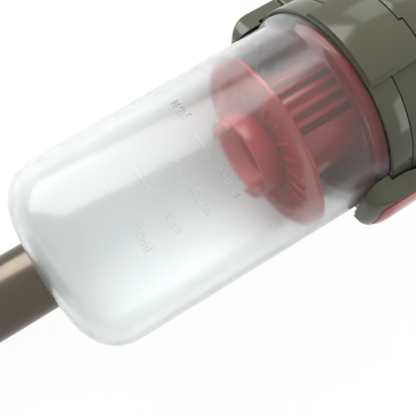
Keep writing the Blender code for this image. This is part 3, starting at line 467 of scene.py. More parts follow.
def prism(outline, low, high, lift):
    """Extrude a closed outline. lift turns (a, b, height) into a point."""
    bm = bmesh.new()
    face = bm.faces.new([bm.verts.new(lift(a, b, low)) for a, b in outline])
    made = bmesh.ops.extrude_face_region(bm, geom=[face])
    side = Vector(lift(0, 0, high)) - Vector(lift(0, 0, low))
    moved = [v for v in made["geom"] if isinstance(v, bmesh.types.BMVert)]
    bmesh.ops.translate(bm, vec=side, verts=moved)
    bmesh.ops.recalc_face_normals(bm, faces=bm.faces)
    return bm


def block(low, high):
    bm = bmesh.new()
    size = [b - a for a, b in zip(low, high)]
    middle = [(a + b) / 2 for a, b in zip(low, high)]
    bmesh.ops.create_cube(bm, size=1.0, matrix=Matrix.Translation(middle) @ Matrix.Diagonal((*size, 1.0)))
    return bm


def rod(x0, x1, radius, segments=ROUND):
    bm = bmesh.new()
    spot = Matrix.Translation(((x0 + x1) / 2, 0, 0)) @ Matrix.Rotation(pi / 2, 4, "Y")
    bmesh.ops.create_cone(bm, cap_ends=True, segments=segments, radius1=radius, radius2=radius,
                          depth=x1 - x0, matrix=spot)
    return bm


def cross_rod(x, radius, half, segments=ROUND):
    bm = bmesh.new()
    spot = Matrix.Translation((x, 0, 0)) @ Matrix.Rotation(pi / 2, 4, "X")
    bmesh.ops.create_cone(bm, cap_ends=True, segments=segments, radius1=radius, radius2=radius,
                          depth=2 * half, matrix=spot)
    return bm


def add_to(bm, other, transform=None):
    """Copy another bmesh into bm."""
    if transform is not None:
        other.transform(transform)
    holder = bpy.data.meshes.new("part_of")
    other.to_mesh(holder)
    other.free()
    bm.from_mesh(holder)
    bpy.data.meshes.remove(holder)
    return bm


def copies(make, transforms):
    bm = bmesh.new()
    for transform in transforms:
        add_to(bm, make(), transform)
    return bm


def soft_edges(bm, width, segments=3, angle=30.0):
    """Bevel every edge that turns by more than the angle."""
    edges = [e for e in bm.edges if e.is_manifold and e.calc_face_angle() > radians(angle)]
    bmesh.ops.bevel(bm, geom=edges, offset=width, segments=segments, profile=0.5, affect="EDGES",
                    material=-1, clamp_overlap=True)
    return bm


def shaped(bm, *steps):
    """Run exact booleans on a bmesh; each step is (operation, tool)."""
    mesh = bpy.data.meshes.new("blank")
    bm.to_mesh(mesh)
    bm.free()
    blank = bpy.data.objects.new("blank", mesh)
    bpy.context.scene.collection.objects.link(blank)
    tools = []
    for operation, tool in steps:
        tool_mesh = bpy.data.meshes.new("tool")
        tool.to_mesh(tool_mesh)
        tool.free()
        cutter = bpy.data.objects.new("tool", tool_mesh)
        bpy.context.scene.collection.objects.link(cutter)
        tools.append(cutter)
        step = blank.modifiers.new("step", "BOOLEAN")
        step.operation = operation
        step.solver = "EXACT"
        step.object = cutter
    graph = bpy.context.evaluated_depsgraph_get()
    done = bmesh.new()
    done.from_mesh(blank.evaluated_get(graph).to_mesh())
    for thing in [blank, *tools]:
        data = thing.data
        bpy.data.objects.remove(thing)
        bpy.data.meshes.remove(data)
    bmesh.ops.remove_doubles(done, verts=done.verts, dist=1e-6)
    return done


def about_axis(angle):
    """Turn +z to the given angle round the cup's axis, towards +y."""
    return Matrix.Rotation(radians(-angle), 4, "X")


def arc(cx, cr, radius, from_angle, to_angle, steps):
    points = []
    for i in range(steps + 1):
        a = radians(from_angle + (to_angle - from_angle) * i / steps)
        points.append((cx + radius * cos(a), cr + radius * sin(a)))
    return points


def along_x(a, b, h):
    return (h, a, b)


def along_y(a, b, h):
    return (a, h, b)


def sector(x0, x1, inner, outer, from_angle, to_angle, slope, steps=40):
    """A curved plate along x, between two angles, whose long edges lean by slope."""
    outline = [(inner * sin(a), inner * cos(a)) for a in
               [radians(from_angle + (to_angle - from_angle) * i / steps) for i in range(steps + 1)]]
    low, high = from_angle + slope, to_angle - slope
    outline += [(outer * sin(a), outer * cos(a)) for a in
                [radians(high - (high - low) * i / steps) for i in range(steps + 1)]]
    return prism(outline, x0, x1, along_x)


# Water cup

CORNER_STEPS = 24
FLARE_STEPS = 10
RIM_EDGE = 0.5 * MM
LATCH_WAY = 17.0
LUG_SETBACK = 2.5 * MM
LUG_LENGTH = 2.4 * MM
LUG_RISE = 0.7 * MM
LUG_ROOT = 0.2 * MM
LUG_EDGE = 0.2 * MM
LUG_HALF_ANGLE = 10


def make_cup():
    base_r = CUP_RADIUS - CUP_CORNER
    inner_corner = CUP_CORNER - CUP_WALL
    end_bore = cup_bore(CUP_LENGTH)
    outer = [(0, 0)] + arc(CUP_CORNER, base_r, CUP_CORNER, 180, 90, CORNER_STEPS)
    flare = [(COLLAR_X + (COLLAR_END_X - COLLAR_X) * t,
              cup_radius(COLLAR_X) + (COLLAR_RADIUS - cup_radius(COLLAR_X)) * smooth(t))
             for t in [i / FLARE_STEPS for i in range(FLARE_STEPS + 1)]]
    collar = flare + [(CUP_LENGTH - RIM_EDGE, COLLAR_RADIUS), (CUP_LENGTH, COLLAR_RADIUS - RIM_EDGE)]
    rim = [(CUP_LENGTH, end_bore + RIM_EDGE), (CUP_LENGTH - RIM_EDGE, end_bore)]
    inner = arc(CUP_CORNER, base_r, inner_corner, 90, 180, CORNER_STEPS) + [(CUP_WALL, 0)]
    notch = lambda: sector(COLLAR_X - MM, CUP_LENGTH + MM, cup_radius(CUP_LENGTH), COLLAR_RADIUS + MM,
                           -LATCH_WAY, LATCH_WAY, 0)
    way = copies(notch, [about_axis(HEAD_TURN + side) for name, side in SIDES])
    bm = shaped(turned(outer + collar + rim + inner), ("DIFFERENCE", way))
    wall = finish_piece("cup_shell", bm, CUP_PLACE, FROSTED, "cup", "cup", "water_cup")
    repaint(wall, [look for angle, look in MILKY],
            lambda spot, normal: sum(abs(degrees(atan2(spot.y, spot.z))) > angle for angle, look in MILKY))
    front = LATCH_FRONT_X + LUG_SETBACK
    for name, side in SIDES:
        lug = sector(front, front + LUG_LENGTH, cup_radius(front) - LUG_ROOT, cup_radius(front) + LUG_RISE,
                     HEAD_TURN + side - LUG_HALF_ANGLE, HEAD_TURN + side + LUG_HALF_ANGLE, 0, 16)
        finish_piece("catch_" + name, soft_edges(lug, LUG_EDGE), CUP_PLACE, FROSTED, "cup", "cup")


TICKS = ((64.7 * MM, "250ml"), (53.9 * MM, "200ml"), (43.0 * MM, "150ml"), (32.1 * MM, "100ml"))
TICK_FROM, TICK_TO = 22.0, 10.0
TICK_WIDTH = 0.45 * MM
LABEL_FROM = 3.0
LABEL_SIZE = 4.3 * MM
MARK_RISE = 0.35 * MM
MARK_ROOT = 0.05 * MM
MAX_FROM = 46.0


def wrapped(bm, x, angle):
    """Bend flat marks, read along +u with their tops along +v, onto the cup's wall."""
    for v in bm.verts:
        along = x + v.co.y
        radius = cup_radius(along)
        a = radians(angle) - v.co.x / radius
        out = radius - MARK_ROOT + v.co.z
        v.co = (along, out * sin(a), out * cos(a))
    return bm


def lettering(text, size):
    """A line of upright numerals as a closed mesh, MARK_RISE thick."""
    curve = bpy.data.curves.new("letters", "FONT")
    curve.body = text
    curve.size = size
    curve.space_character = 1.12
    curve.extrude = (MARK_RISE + MARK_ROOT) / 2
    curve.resolution_u = 3
    holder = bpy.data.objects.new("letters", curve)
    bpy.context.scene.collection.objects.link(holder)
    graph = bpy.context.evaluated_depsgraph_get()
    bm = bmesh.new()
    bm.from_mesh(holder.evaluated_get(graph).to_mesh())
    bpy.data.objects.remove(holder)
    bpy.data.curves.remove(curve)
    bmesh.ops.translate(bm, vec=(0, 0, MARK_RISE / 2), verts=bm.verts)
    bmesh.ops.remove_doubles(bm, verts=bm.verts, dist=1e-7)
    return bm


def make_scale():
    bm = bmesh.new()
    for x, label in TICKS:
        length = radians(TICK_FROM - TICK_TO) * cup_radius(x)
        tick = block((0, -TICK_WIDTH / 2, 0), (length, TICK_WIDTH / 2, MARK_RISE))
        long_edges = [e for e in tick.edges if abs(e.verts[0].co.x - e.verts[1].co.x) > MM]
        bmesh.ops.subdivide_edges(tick, edges=long_edges, cuts=8)
        add_to(bm, wrapped(tick, x, TICK_FROM))
        add_to(bm, wrapped(lettering(label, LABEL_SIZE), x, LABEL_FROM))
    add_to(bm, wrapped(lettering("MAX", LABEL_SIZE), TICKS[0][0], MAX_FROM))
    finish_piece("cup_scale", bm, CUP_PLACE, FROSTED, "cup", "cup", sharp=20.0)


# Separator

DISC_X = 93.5 * MM
DISC_THICK = 1.8 * MM
DISC_CLEARANCE = 0.5 * MM
DROP_RADIUS = 17.2 * MM
DROP_MOUTH_X = 83.9 * MM
INLET_RADIUS = 12.5 * MM
SEPARATOR_WALL = 1.5 * MM
PASSAGE_HALF = 11.5 * MM
FLANGE_THICK = 2.2 * MM
SKIRT_LENGTH = 8.0 * MM
SKIRT_WALL = 2.6 * MM
FOLD = 1.2 * MM
SLOT_COUNT = 13
SLOT_FROM = -8.0
SLOT_HALF = 1.6 * MM
SLOT_INSET = 2.5 * MM
SLOT_EDGE = 0.5 * MM
FIN_HALF = 0.45 * MM
FIN_AHEAD = 1.6 * MM
FIN_ROOT = 0.9 * MM
FIN_FROM = DROP_RADIUS + 0.6 * MM
FIN_TO = 28.5 * MM
LOBE_RADIUS = DROP_RADIUS - 0.5 * MM
LOBE_HALF_ANGLE = 44
LOBE_AHEAD = 2.2 * MM
LOBE_ROOT = 5.0 * MM
LOBE_EDGE = 0.7 * MM
MOULD_EDGE = 0.4 * MM


def make_cage():
    flange_end = BODY_X - GAP
    flange_x = flange_end - FLANGE_THICK
    skirt_x = flange_x - SKIRT_LENGTH
    skirt_r = cup_bore(skirt_x) - GAP
    skirt_in = skirt_r - SKIRT_WALL
    groove_x = flange_x - SKIRT_LENGTH / 2 - SEAL_WIDTH / 2 - GAP
    groove_end = groove_x + SEAL_WIDTH + 2 * GAP
    groove_r = skirt_r - SEAL_DEPTH - GAP
    cage_x = DISC_X + DISC_THICK + GAP
    cage_in = CAGE_RADIUS - SEPARATOR_WALL
    edge = MOULD_EDGE
    profile = rounded([(cage_x, cage_in, edge), (cage_x, CAGE_RADIUS, edge), (flange_x, CAGE_RADIUS, FOLD),
                       (flange_x, skirt_in, FOLD), (skirt_x, skirt_in, edge), (skirt_x, skirt_r, edge),
                       (groove_x, skirt_r, 0), (groove_x, groove_r, 0), (groove_end, groove_r, 0),
                       (groove_end, skirt_r, 0), (flange_end, skirt_r, edge), (flange_end, cage_in, edge)])
    low = (cage_x + SLOT_INSET, -SLOT_HALF, cage_in - MM)
    high = (flange_x - SLOT_INSET, SLOT_HALF, CAGE_RADIUS + MM)
    slots = copies(lambda: soft_edges(block(low, high), SLOT_EDGE, 2),
                   [about_axis(SLOT_FROM + i * CAGE_PITCH) for i in range(SLOT_COUNT)])
    cage = shaped(turned(profile), ("DIFFERENCE", slots))
    piece = finish_piece("slotted_cage", cage, CUP_PLACE, RED_CLEAR, "head", "separator", "separator_cage")
    # The flange and skirt beyond the cage get the darker opaque red as painted shade from the collar over
    # them
    beyond_cage = CAGE_RADIUS + 1.5 * MM
    repaint(piece, [RED_INLAY_AND_SKIRT_SHADE], lambda spot, normal: int(off_axis(spot).length > beyond_cage))
    seal = ring(groove_x + GAP, groove_end - GAP, groove_r + GAP, skirt_r, MOULD_EDGE)
    finish_piece("cup_seal_ring", seal, CUP_PLACE, RUBBER, "head", "rubber", "cup_seal")


def make_disc():
    disc_r = cup_bore(DISC_X) - DISC_CLEARANCE
    disc = ring(DISC_X, DISC_X + DISC_THICK, INLET_RADIUS + GAP, disc_r, 0.7 * MM)
    low = (DISC_X - FIN_AHEAD, -FIN_HALF, FIN_FROM)
    high = (DISC_X + FIN_ROOT, FIN_HALF, FIN_TO)
    fins = copies(lambda: soft_edges(block(low, high), 0.2 * MM, 2),
                  [about_axis((i + 0.5) * CAGE_PITCH) for i in range(RIBS_ROUND)])
    finish_piece("disc_with_fins", shaped(disc, ("UNION", fins)), CUP_PLACE, RED_CLEAR, "head", "separator",
                 "baffle_disc")


def make_drop_tube():
    mouth_end = DISC_X - GAP
    duct_end = BODY_X + SOCKET_DEPTH
    bore = INLET_RADIUS - SEPARATOR_WALL
    edge = MOULD_EDGE
    profile = rounded([(DROP_MOUTH_X, bore, 0.3 * MM), (DROP_MOUTH_X, DROP_RADIUS, 0.6 * MM),
                       (mouth_end, DROP_RADIUS, edge), (mouth_end, INLET_RADIUS, edge),
                       (duct_end, INLET_RADIUS, edge), (duct_end, bore, 0)])
    wall_r = DROP_RADIUS - SEPARATOR_WALL
    limit = asin(PASSAGE_HALF / wall_r)
    side = [(wall_r * sin(a), -wall_r * cos(a)) for a in [-limit + 2 * limit * i / 20 for i in range(21)]]
    passage = prism(side + [(-y, -z) for y, z in side], DROP_MOUTH_X - MM, mouth_end - SEPARATOR_WALL,
                    along_x)
    rim = arc(0, 0, LOBE_RADIUS, -LOBE_HALF_ANGLE, LOBE_HALF_ANGLE, 20)
    lobe = lambda: soft_edges(prism(rim, DROP_MOUTH_X - LOBE_AHEAD, DROP_MOUTH_X + LOBE_ROOT, along_x),
                              LOBE_EDGE, 3, 50.0)
    lobes = copies(lobe, [Matrix.Identity(4), about_axis(180)])
    duct = shaped(turned(profile), ("DIFFERENCE", passage), ("UNION", lobes))
    piece = finish_piece("drop_duct", duct, CUP_PLACE, RED_CLEAR, "head", "separator", "drop_tube")

    def inside_mouth(spot, normal):
        across = off_axis(spot)
        in_reach = DROP_MOUTH_X + MM < spot.x < mouth_end and across.length < wall_r + 0.2 * MM
        return int(in_reach and normal.dot(across) < 0)

    # The inside faces of the mouth get the paler red as painted light
    repaint(piece, [RED_PAINTED_LIGHT], inside_mouth)


# Head

EAR_RADIUS = 1.9 * MM
EAR_HALF = 1.2 * MM
EAR_OFFSET = 4.6 * MM


def make_front_ring():
    end_x = HEAD_FRONT_X + RING_LENGTH
    foot = (RING_BORE + HEAD_RADIUS) / 2
    profile = rounded([(HEAD_FRONT_X, RING_BORE, 0.3 * MM), (HEAD_FRONT_X, HEAD_RADIUS, 0.9 * MM),
                       (end_x, HEAD_RADIUS, 0.45 * MM), (end_x, RING_BORE, 0)])
    outline = [(LATCH_PIN_X - EAR_RADIUS, foot), (LATCH_PIN_X + EAR_RADIUS, foot)]
    outline += arc(LATCH_PIN_X, LATCH_PIN_R, EAR_RADIUS, 0, 180, 16)
    places = [about_axis(side) @ Matrix.Translation((0, y, 0)) for name, side in SIDES
              for y in (-EAR_OFFSET, EAR_OFFSET)]
    ears = copies(lambda: prism(outline, -EAR_HALF, EAR_HALF, along_y), places)
    finish_piece("collar_ring", shaped(turned(profile), ("UNION", ears)), HEAD_PLACE, OLIVE, "head",
                 "housing", "front_ring")


def flat(a, b, h):
    return (a, b, h)


def bent(bm, xs, height):
    """Slice a solid across, then put each of its points at height(point)."""
    cuts = [((x, 0, 0), (1, 0, 0)) for x in xs] + [((0, w * MM, 0), (0, 1, 0)) for w in range(-13, 14, 2)]
    for spot, normal in cuts:
        whole = bm.verts[:] + bm.edges[:] + bm.faces[:]
        bmesh.ops.bisect_plane(bm, geom=whole, dist=1e-6, plane_co=spot, plane_no=normal)
    for v in bm.verts:
        v.co.z = height(v.co)
    return bm


def tapered(outline, low, high):
    """A solid over a plan outline whose sides lean in from the foot of a latch to its top."""
    bm = prism(outline, low, high, flat)
    lean = 1 - LATCH_HALF_HIGH / LATCH_HALF_LOW
    for v in bm.verts:
        v.co.y *= 1 - lean * (v.co.z - low) / (high - low)
    return soft_edges(bm, 1.1 * MM, 4, 50.0)


LATCH_FOOT = -8.0 * MM
SHOULDER_LENGTH = 17.0 * MM
SHOULDER_FLAT = 6.0 * MM
SHOULDER_FALL = 10.0 * MM


def shoulder():
    """The fixed block behind a latch, in the latch's outline, falling away to the rear."""
    x0 = LATCH_BACK_X + 2 * GAP - LATCH_PIN_X
    x1 = x0 + SHOULDER_LENGTH
    top = LATCH_RADIUS - LATCH_PIN_R
    half = LATCH_HALF_LOW
    bm = tapered([(x0, -half), (x1, -half), (x1, half), (x0, half)], LATCH_FOOT, top)

    def height(point):
        t = min(max((point.x - x0 - SHOULDER_FLAT) / SHOULDER_FALL, 0), 1)
        radius = LATCH_RADIUS - (LATCH_RADIUS - HEAD_RADIUS + MM) * smooth(t)
        share = (point.z - LATCH_FOOT) / (top - LATCH_FOOT)
        return LATCH_FOOT + share * (sqrt(radius ** 2 - point.y ** 2) - LATCH_PIN_R - LATCH_FOOT)

    bent(bm, [x0 + i * MM for i in range(2, 17)], height)
    bm.transform(Matrix.Translation((LATCH_PIN_X, 0, LATCH_PIN_R)))
    return bm


CHAMBER_WALL = 1.2 * MM
FOOT_FROM = BODY_X + 1.5 * MM
FOOT_TO = BODY_X + 20.5 * MM
FOOT_HALF = 14.0 * MM
FOOT_TOP = -18.1 * MM
SOCKET_EDGE = 0.9 * MM


def make_head_body():
    inner = HEAD_RADIUS - HEAD_WALL
    plate_end = BODY_X + HEAD_WALL
    bore = CAGE_RADIUS - SEPARATOR_WALL
    profile = rounded([(BODY_X, bore, 0), (BODY_X, HEAD_RADIUS, 0.35 * MM),
                       (BODY_END_X, HEAD_RADIUS, 0.35 * MM), (BODY_END_X, inner, 0), (plate_end, inner, MM),
                       (plate_end, bore, 0)])
    finish_piece("head_band", turned(profile), CUP_PLACE, OLIVE, "head", "housing", "head_body")
    chamber = rod(BODY_X, BODY_END_X + MM, HEAD_RADIUS - CHAMBER_WALL, FINE)
    blocks = shaped(copies(shoulder, [about_axis(HEAD_TURN + side) for name, side in SIDES]),
                    ("DIFFERENCE", chamber))
    finish_piece("latch_shoulders", blocks, CUP_PLACE, OLIVE, "head", "housing")
    socket = turned(rounded([(BODY_X, TUBE_RADIUS + GAP, 0.3 * MM), (BODY_X, SOCKET_RADIUS, SOCKET_EDGE),
                             (BODY_END_X, SOCKET_RADIUS, SOCKET_EDGE), (BODY_END_X, TUBE_RADIUS + GAP, 0)]),
                    ROUND)
    foot = soft_edges(block((FOOT_FROM, -FOOT_HALF, FLOOR_Z), (FOOT_TO, FOOT_HALF, FOOT_TOP)), 1.2 * MM)
    plug = rod(BODY_X + SOCKET_DEPTH + 0.5 * MM, BODY_END_X - 0.5 * MM, TUBE_RADIUS + MM)
    finish_piece("tube_socket", shaped(socket, ("UNION", foot), ("UNION", plug)), TUBE_PLACE, OLIVE, "head",
                 "housing")


def dome_radius(x):
    end = OUTLET_RADIUS + OUTLET_FLANGE
    t = min(max((x - DOME_X) / DOME_LENGTH, 0), 1)
    return end + (HEAD_RADIUS - end) * sqrt(1 - t ** DOME_POWER)


DOME_STEPS = 28
SCREW_CIRCLE = 34.0 * MM
SCREW_ANGLES = (38.0, 132.0, -132.0, -38.0)
SCREW_SINK = 6.0 * MM
SCREW_RADIUS = 1.5 * MM
SCREW_HEAD_RADIUS = 2.8 * MM
SCREW_LENGTH = 12.0 * MM
TOWER_RADIUS = 4.2 * MM
TOWER_LENGTH = 16.0 * MM


def make_dome():
    xs = [DOME_X + DOME_LENGTH * sin(pi / 2 * i / DOME_STEPS) for i in range(DOME_STEPS + 1)]
    bore = OUTLET_RADIUS - OUTLET_WALL
    outer = [(x, dome_radius(x)) for x in xs]
    squeeze = (DOME_LENGTH - HEAD_WALL) / DOME_LENGTH
    inner = [(DOME_X + (x - DOME_X) * squeeze, dome_radius(x) - HEAD_WALL) for x in xs]
    dome = turned(outer + [(DOME_END_X, bore), (DOME_END_X - HEAD_WALL, bore)] + inner[::-1])
    head_x = DOME_X + SCREW_SINK
    places = [about_axis(angle) @ Matrix.Translation((0, 0, SCREW_CIRCLE)) for angle in SCREW_ANGLES]
    towers = copies(lambda: rod(DOME_X + GAP, DOME_X + TOWER_LENGTH, TOWER_RADIUS, 32), places)
    wells = copies(lambda: rod(head_x, DOME_END_X, SCREW_HEAD_RADIUS + GAP, 32), places)
    trimmed = turned(outer + [(DOME_END_X, 0), (DOME_X, 0)])
    towers = shaped(towers, ("INTERSECT", trimmed))
    shell = shaped(dome, ("UNION", towers), ("DIFFERENCE", wells))
    finish_piece("rear_shell", shell, CUP_PLACE, OLIVE, "head", "housing", "rear_dome")
    for i, place in enumerate(places):
        finish_piece(f"torx_screw_{i + 1}", torx_screw(head_x), CUP_PLACE @ place, STEEL, "head", "fasteners",
                     f"housing_screw_{i + 1}")


# Height over the seat and radius, in millimetres, up the outside of a screw's head
PAN_HEAD = ((0, 2.8), (0.9, 2.7), (1.5, 2.1), (1.8, 1.4), (1.8, 0))
RECESS_RADIUS = 1.15 * MM
RECESS_SWING = 0.2 * MM
RECESS_FLOOR = 0.6 * MM


def torx_screw(head_x):
    """Pan-head screw with a six-lobed recess, pointing along -x."""
    low = head_x - SCREW_LENGTH
    top = head_x + GAP
    profile = [(low, 0), (low + MM, SCREW_RADIUS - 0.2 * MM), (top, SCREW_RADIUS)]
    profile += [(top + h * MM, r * MM) for h, r in PAN_HEAD]
    lobes = []
    for i in range(36):
        a = 2 * pi * i / 36
        r = RECESS_RADIUS + RECESS_SWING * cos(6 * a)
        lobes.append((r * cos(a), r * sin(a)))
    recess = prism(lobes, top + RECESS_FLOOR, top + 3 * MM, along_x)
    return shaped(turned(profile, 32), ("DIFFERENCE", recess))


ELBOW_WALL = 2.2 * MM
ELBOW_STEPS = 48


def make_elbow():
    elbow_x = BODY_X + SOCKET_DEPTH + GAP
    bm = bmesh.new()
    bmesh.ops.create_circle(bm, cap_ends=False, segments=48, radius=INLET_RADIUS + ELBOW_WALL,
                            matrix=Matrix.Translation((elbow_x, 0, 0)) @ Matrix.Rotation(pi / 2, 4, "Y"))
    bmesh.ops.spin(bm, geom=bm.verts[:] + bm.edges[:], cent=(elbow_x, 0, -TUBE_DROP / 2), axis=(0, 1, 0),
                   angle=pi, steps=ELBOW_STEPS)
    bmesh.ops.holes_fill(bm, edges=[e for e in bm.edges if e.is_boundary], sides=0)
    finish_piece("return_elbow", bm, CUP_PLACE, OLIVE_DARK, "head", "housing", "inlet_elbow")


OUTLET_SEAL_AT = 20.0 * MM
OUTLET_GROOVE = 1.2 * MM


def make_outlet():
    bore = OUTLET_RADIUS - OUTLET_WALL
    wide = OUTLET_RADIUS + OUTLET_FLANGE
    groove = OUTLET_RADIUS - OUTLET_GROOVE
    x0 = DOME_END_X + GAP
    flange_end = x0 + OUTLET_FLANGE
    seal_x = x0 + OUTLET_SEAL_AT
    seal_end = seal_x + SEAL_WIDTH + 2 * GAP
    end_x = DOME_END_X + OUTLET_LENGTH
    profile = rounded([(x0, bore, 0), (x0, wide, 0.6 * MM), (flange_end, wide, 0.8 * MM),
                       (flange_end, OUTLET_RADIUS, 0.8 * MM), (seal_x, OUTLET_RADIUS, 0.2 * MM),
                       (seal_x, groove, 0), (seal_end, groove, 0), (seal_end, OUTLET_RADIUS, 0.2 * MM),
                       (end_x, OUTLET_RADIUS, 1.1 * MM), (end_x, bore, 0.6 * MM)])
    finish_piece("outlet_pipe", turned(profile, 96), CUP_PLACE, OLIVE_DARK, "head", "housing",
                 "outlet_spigot")
    seal = ring(seal_x + GAP, seal_end - GAP, groove + GAP, OUTLET_RADIUS + 0.3 * MM, 0.5 * MM, 96)
    finish_piece("outlet_ring", seal, CUP_PLACE, RUBBER, "head", "rubber", "outlet_seal")


COVER_LEAN = 2.4
REAR_COVER_LENGTH = 9.0 * MM


def make_covers():
    half = COVER_HALF_ANGLE
    low, high = COVER_INNER - MM, COVER_OUTER + MM
    step_x = HEAD_FRONT_X + COVER_LENGTH
    front = sector(HEAD_FRONT_X, step_x + COVER_STEP, COVER_INNER, COVER_OUTER, -half, half, COVER_LEAN)
    notch = sector(step_x, step_x + 3 * MM, low, high, -COVER_STEP_AT, half + 5, 0)
    cover = soft_edges(shaped(front, ("DIFFERENCE", notch)), 0.75 * MM, 4, 25.0)
    finish_piece("front_saddle", cover, HEAD_PLACE, OLIVE, "head", "housing", "front_cover")
    rear_x = step_x + 2 * GAP
    rear = sector(rear_x, rear_x + REAR_COVER_LENGTH, COVER_INNER, COVER_OUTER, -half, half, COVER_LEAN)
    room = sector(rear_x - MM, rear_x + COVER_STEP, low, high, -half - 5, -COVER_STEP_AT + 0.8, 0)
    back = soft_edges(shaped(rear, ("DIFFERENCE", room)), 0.35 * MM, 3, 25.0)
    finish_piece("rear_saddle", back, HEAD_PLACE, OLIVE, "head", "housing", "rear_cover")


# Latches

def latch_place(side):
    turn = radians(HEAD_TURN + side)
    spot = (LATCH_PIN_X, LATCH_PIN_R * sin(turn), LATCH_PIN_R * cos(turn))
    return CUP_PLACE @ Matrix.Translation(spot) @ about_axis(HEAD_TURN + side)


def tongue(x0, x1, half, corner, steps=10):
    """Outline of a latch in plan: straight sides, square at the tail and round at the nose."""
    turn = [pi / 2 * i / steps for i in range(steps + 1)]
    near = [(x0 + corner * (1 - sin(a)), -half + corner * (1 - cos(a))) for a in turn]
    return [(x1, -half)] + near + [(x, -w) for x, w in near[::-1]] + [(x1, half)]


def latch_top(x, w):
    """Height of a latch's outer face over its pin: round the cup's axis, drooping over the nose."""
    t = min(max((x - LATCH_FRONT_X + LATCH_PIN_X) / NOSE_LENGTH, 0), 1)
    radius = LATCH_RADIUS - NOSE_DROP * (1 - sqrt(1 - (1 - t) ** 2))
    return sqrt(radius ** 2 - w ** 2) - LATCH_PIN_R


NOSE_CUTS = 12
ROCK_CLEARANCE = 0.9 * MM
TAIL_CLEARANCE = 2.6 * MM
PAD_FRONT = 4.0 * MM
PAD_REAR = 1.6 * MM
PAD_HALF = 10.4 * MM
PAD_CORNER = 5.4 * MM
PAD_SINK = 0.9 * MM
PAD_PROUD = 0.25 * MM
CLAW_FROM = 0.4 * MM
CLAW_TO = 2.6 * MM
CLAW_HALF = 6.5 * MM
CLAW_ROOT = -3.9 * MM


def make_latches():
    nose = LATCH_FRONT_X - LATCH_PIN_X
    tail = LATCH_BACK_X - LATCH_PIN_X
    top = LATCH_RADIUS - LATCH_PIN_R
    over_cup = RING_BORE + GAP
    over_head = HEAD_RADIUS + ROCK_CLEARANCE
    ring_start = HEAD_FRONT_X - MM - LATCH_PIN_X
    claw_low = cup_radius(LATCH_FRONT_X) + MM - LATCH_PIN_R
    underside = [(nose - MM, 0), (nose - MM, over_cup), (ring_start, over_cup), (ring_start, over_head),
                 (0, over_head), (tail + MM, HEAD_RADIUS + TAIL_CLEARANCE), (tail + MM, 0)]
    strips = [nose + NOSE_LENGTH * (1 - sin(pi / 2 * i / NOSE_CUTS)) for i in range(NOSE_CUTS)]
    strips += [nose + i * MM for i in range(12, 24)]

    def body_height(point):
        share = (point.z - LATCH_FOOT) / (top - LATCH_FOOT)
        return LATCH_FOOT + share * (latch_top(point.x, point.y) - LATCH_FOOT)

    def pad_height(point):
        return point.z - top + latch_top(point.x, point.y)

    def pad(grow, low, high):
        outline = tongue(nose + PAD_FRONT - grow, tail - PAD_REAR + grow, PAD_HALF + grow, PAD_CORNER + grow)
        return prism(outline, top + low, top + high, flat)

    def ear_room():
        along, across = EAR_RADIUS + MM, EAR_HALF + GAP
        return block((-along, -across, LATCH_FOOT), (along, across, EAR_RADIUS + GAP))

    for name, side in SIDES:
        bm = bent(tapered(tongue(nose, tail, LATCH_HALF_LOW, LATCH_CORNER), LATCH_FOOT, top), strips,
                  body_height)
        under = turned(underside, FINE, -LATCH_PIN_R)
        room = copies(ear_room, [Matrix.Translation((0, y, 0)) for y in (-EAR_OFFSET, EAR_OFFSET)])
        pocket = bent(pad(GAP, -PAD_SINK - GAP, 2.0 * MM), strips, pad_height)
        claw = soft_edges(block((nose + CLAW_FROM, -CLAW_HALF, claw_low),
                                (nose + CLAW_TO, CLAW_HALF, CLAW_ROOT)), 0.4 * MM)
        rocker = shaped(bm, ("DIFFERENCE", under), ("DIFFERENCE", room), ("DIFFERENCE", pocket),
                        ("UNION", claw))
        finish_piece("rocker_" + name, rocker, latch_place(side), OLIVE, "latch_" + name, "housing",
                     "latch_" + name)
        inlay = bent(soft_edges(pad(0, -PAD_SINK, PAD_PROUD), 0.35 * MM, 3, 50.0), strips, pad_height)
        finish_piece("inlay_" + name, inlay, latch_place(side), RED_INLAY_AND_SKIRT_SHADE, "latch_" + name, "latch_pad",
                     "latch_pad_" + name)


# Tube and nozzle

TUBE_FAR_X = -168.0 * MM
TUBE_WALL = 1.0 * MM
SLEEVE_END_X = -146.0 * MM
SLEEVE_WALL = 2.7 * MM
SLEEVE_STEP = 0.8 * MM
BARREL_RADIUS = 18.5 * MM
BARREL_HALF = 21.0 * MM
BARREL_CLEARANCE = 0.5 * MM
FLOW_RADIUS = 14.0 * MM
PIVOT_RADIUS = 3.3 * MM


def make_tube():
    tube = ring(TUBE_FAR_X, BODY_X + SOCKET_DEPTH, TUBE_RADIUS - TUBE_WALL, TUBE_RADIUS, 0.3 * MM)
    finish_piece("long_tube", tube, TUBE_PLACE, TUBE_METAL, "head", "tube", "wand_tube")


def make_neck():
    wide = TUBE_RADIUS + GAP + SLEEVE_WALL
    slim = wide - SLEEVE_STEP
    sleeve = turned(rounded([(HINGE_X, 0, 0), (HINGE_X, wide, MM), (SLEEVE_END_X - 7 * MM, wide, 1.5 * MM),
                             (SLEEVE_END_X - 6 * MM, slim, MM), (SLEEVE_END_X, slim, 1.2 * MM),
                             (SLEEVE_END_X, 0, 0)]), 96)
    barrel = soft_edges(cross_rod(HINGE_X, BARREL_RADIUS, BARREL_HALF, 96), MM, 3, 60.0)
    bore = rod(TUBE_FAR_X - GAP, SLEEVE_END_X + MM, TUBE_RADIUS + GAP, 96)
    flow = rod(HINGE_X - BARREL_RADIUS - MM, TUBE_FAR_X + MM, FLOW_RADIUS, 96)
    pins = cross_rod(HINGE_X, PIVOT_RADIUS, BARREL_HALF + MM, 32)
    neck = shaped(sleeve, ("UNION", barrel), ("DIFFERENCE", bore), ("DIFFERENCE", flow), ("DIFFERENCE", pins))
    finish_piece("swivel_neck", neck, TUBE_PLACE, OLIVE, "head", "housing", "nozzle_neck")


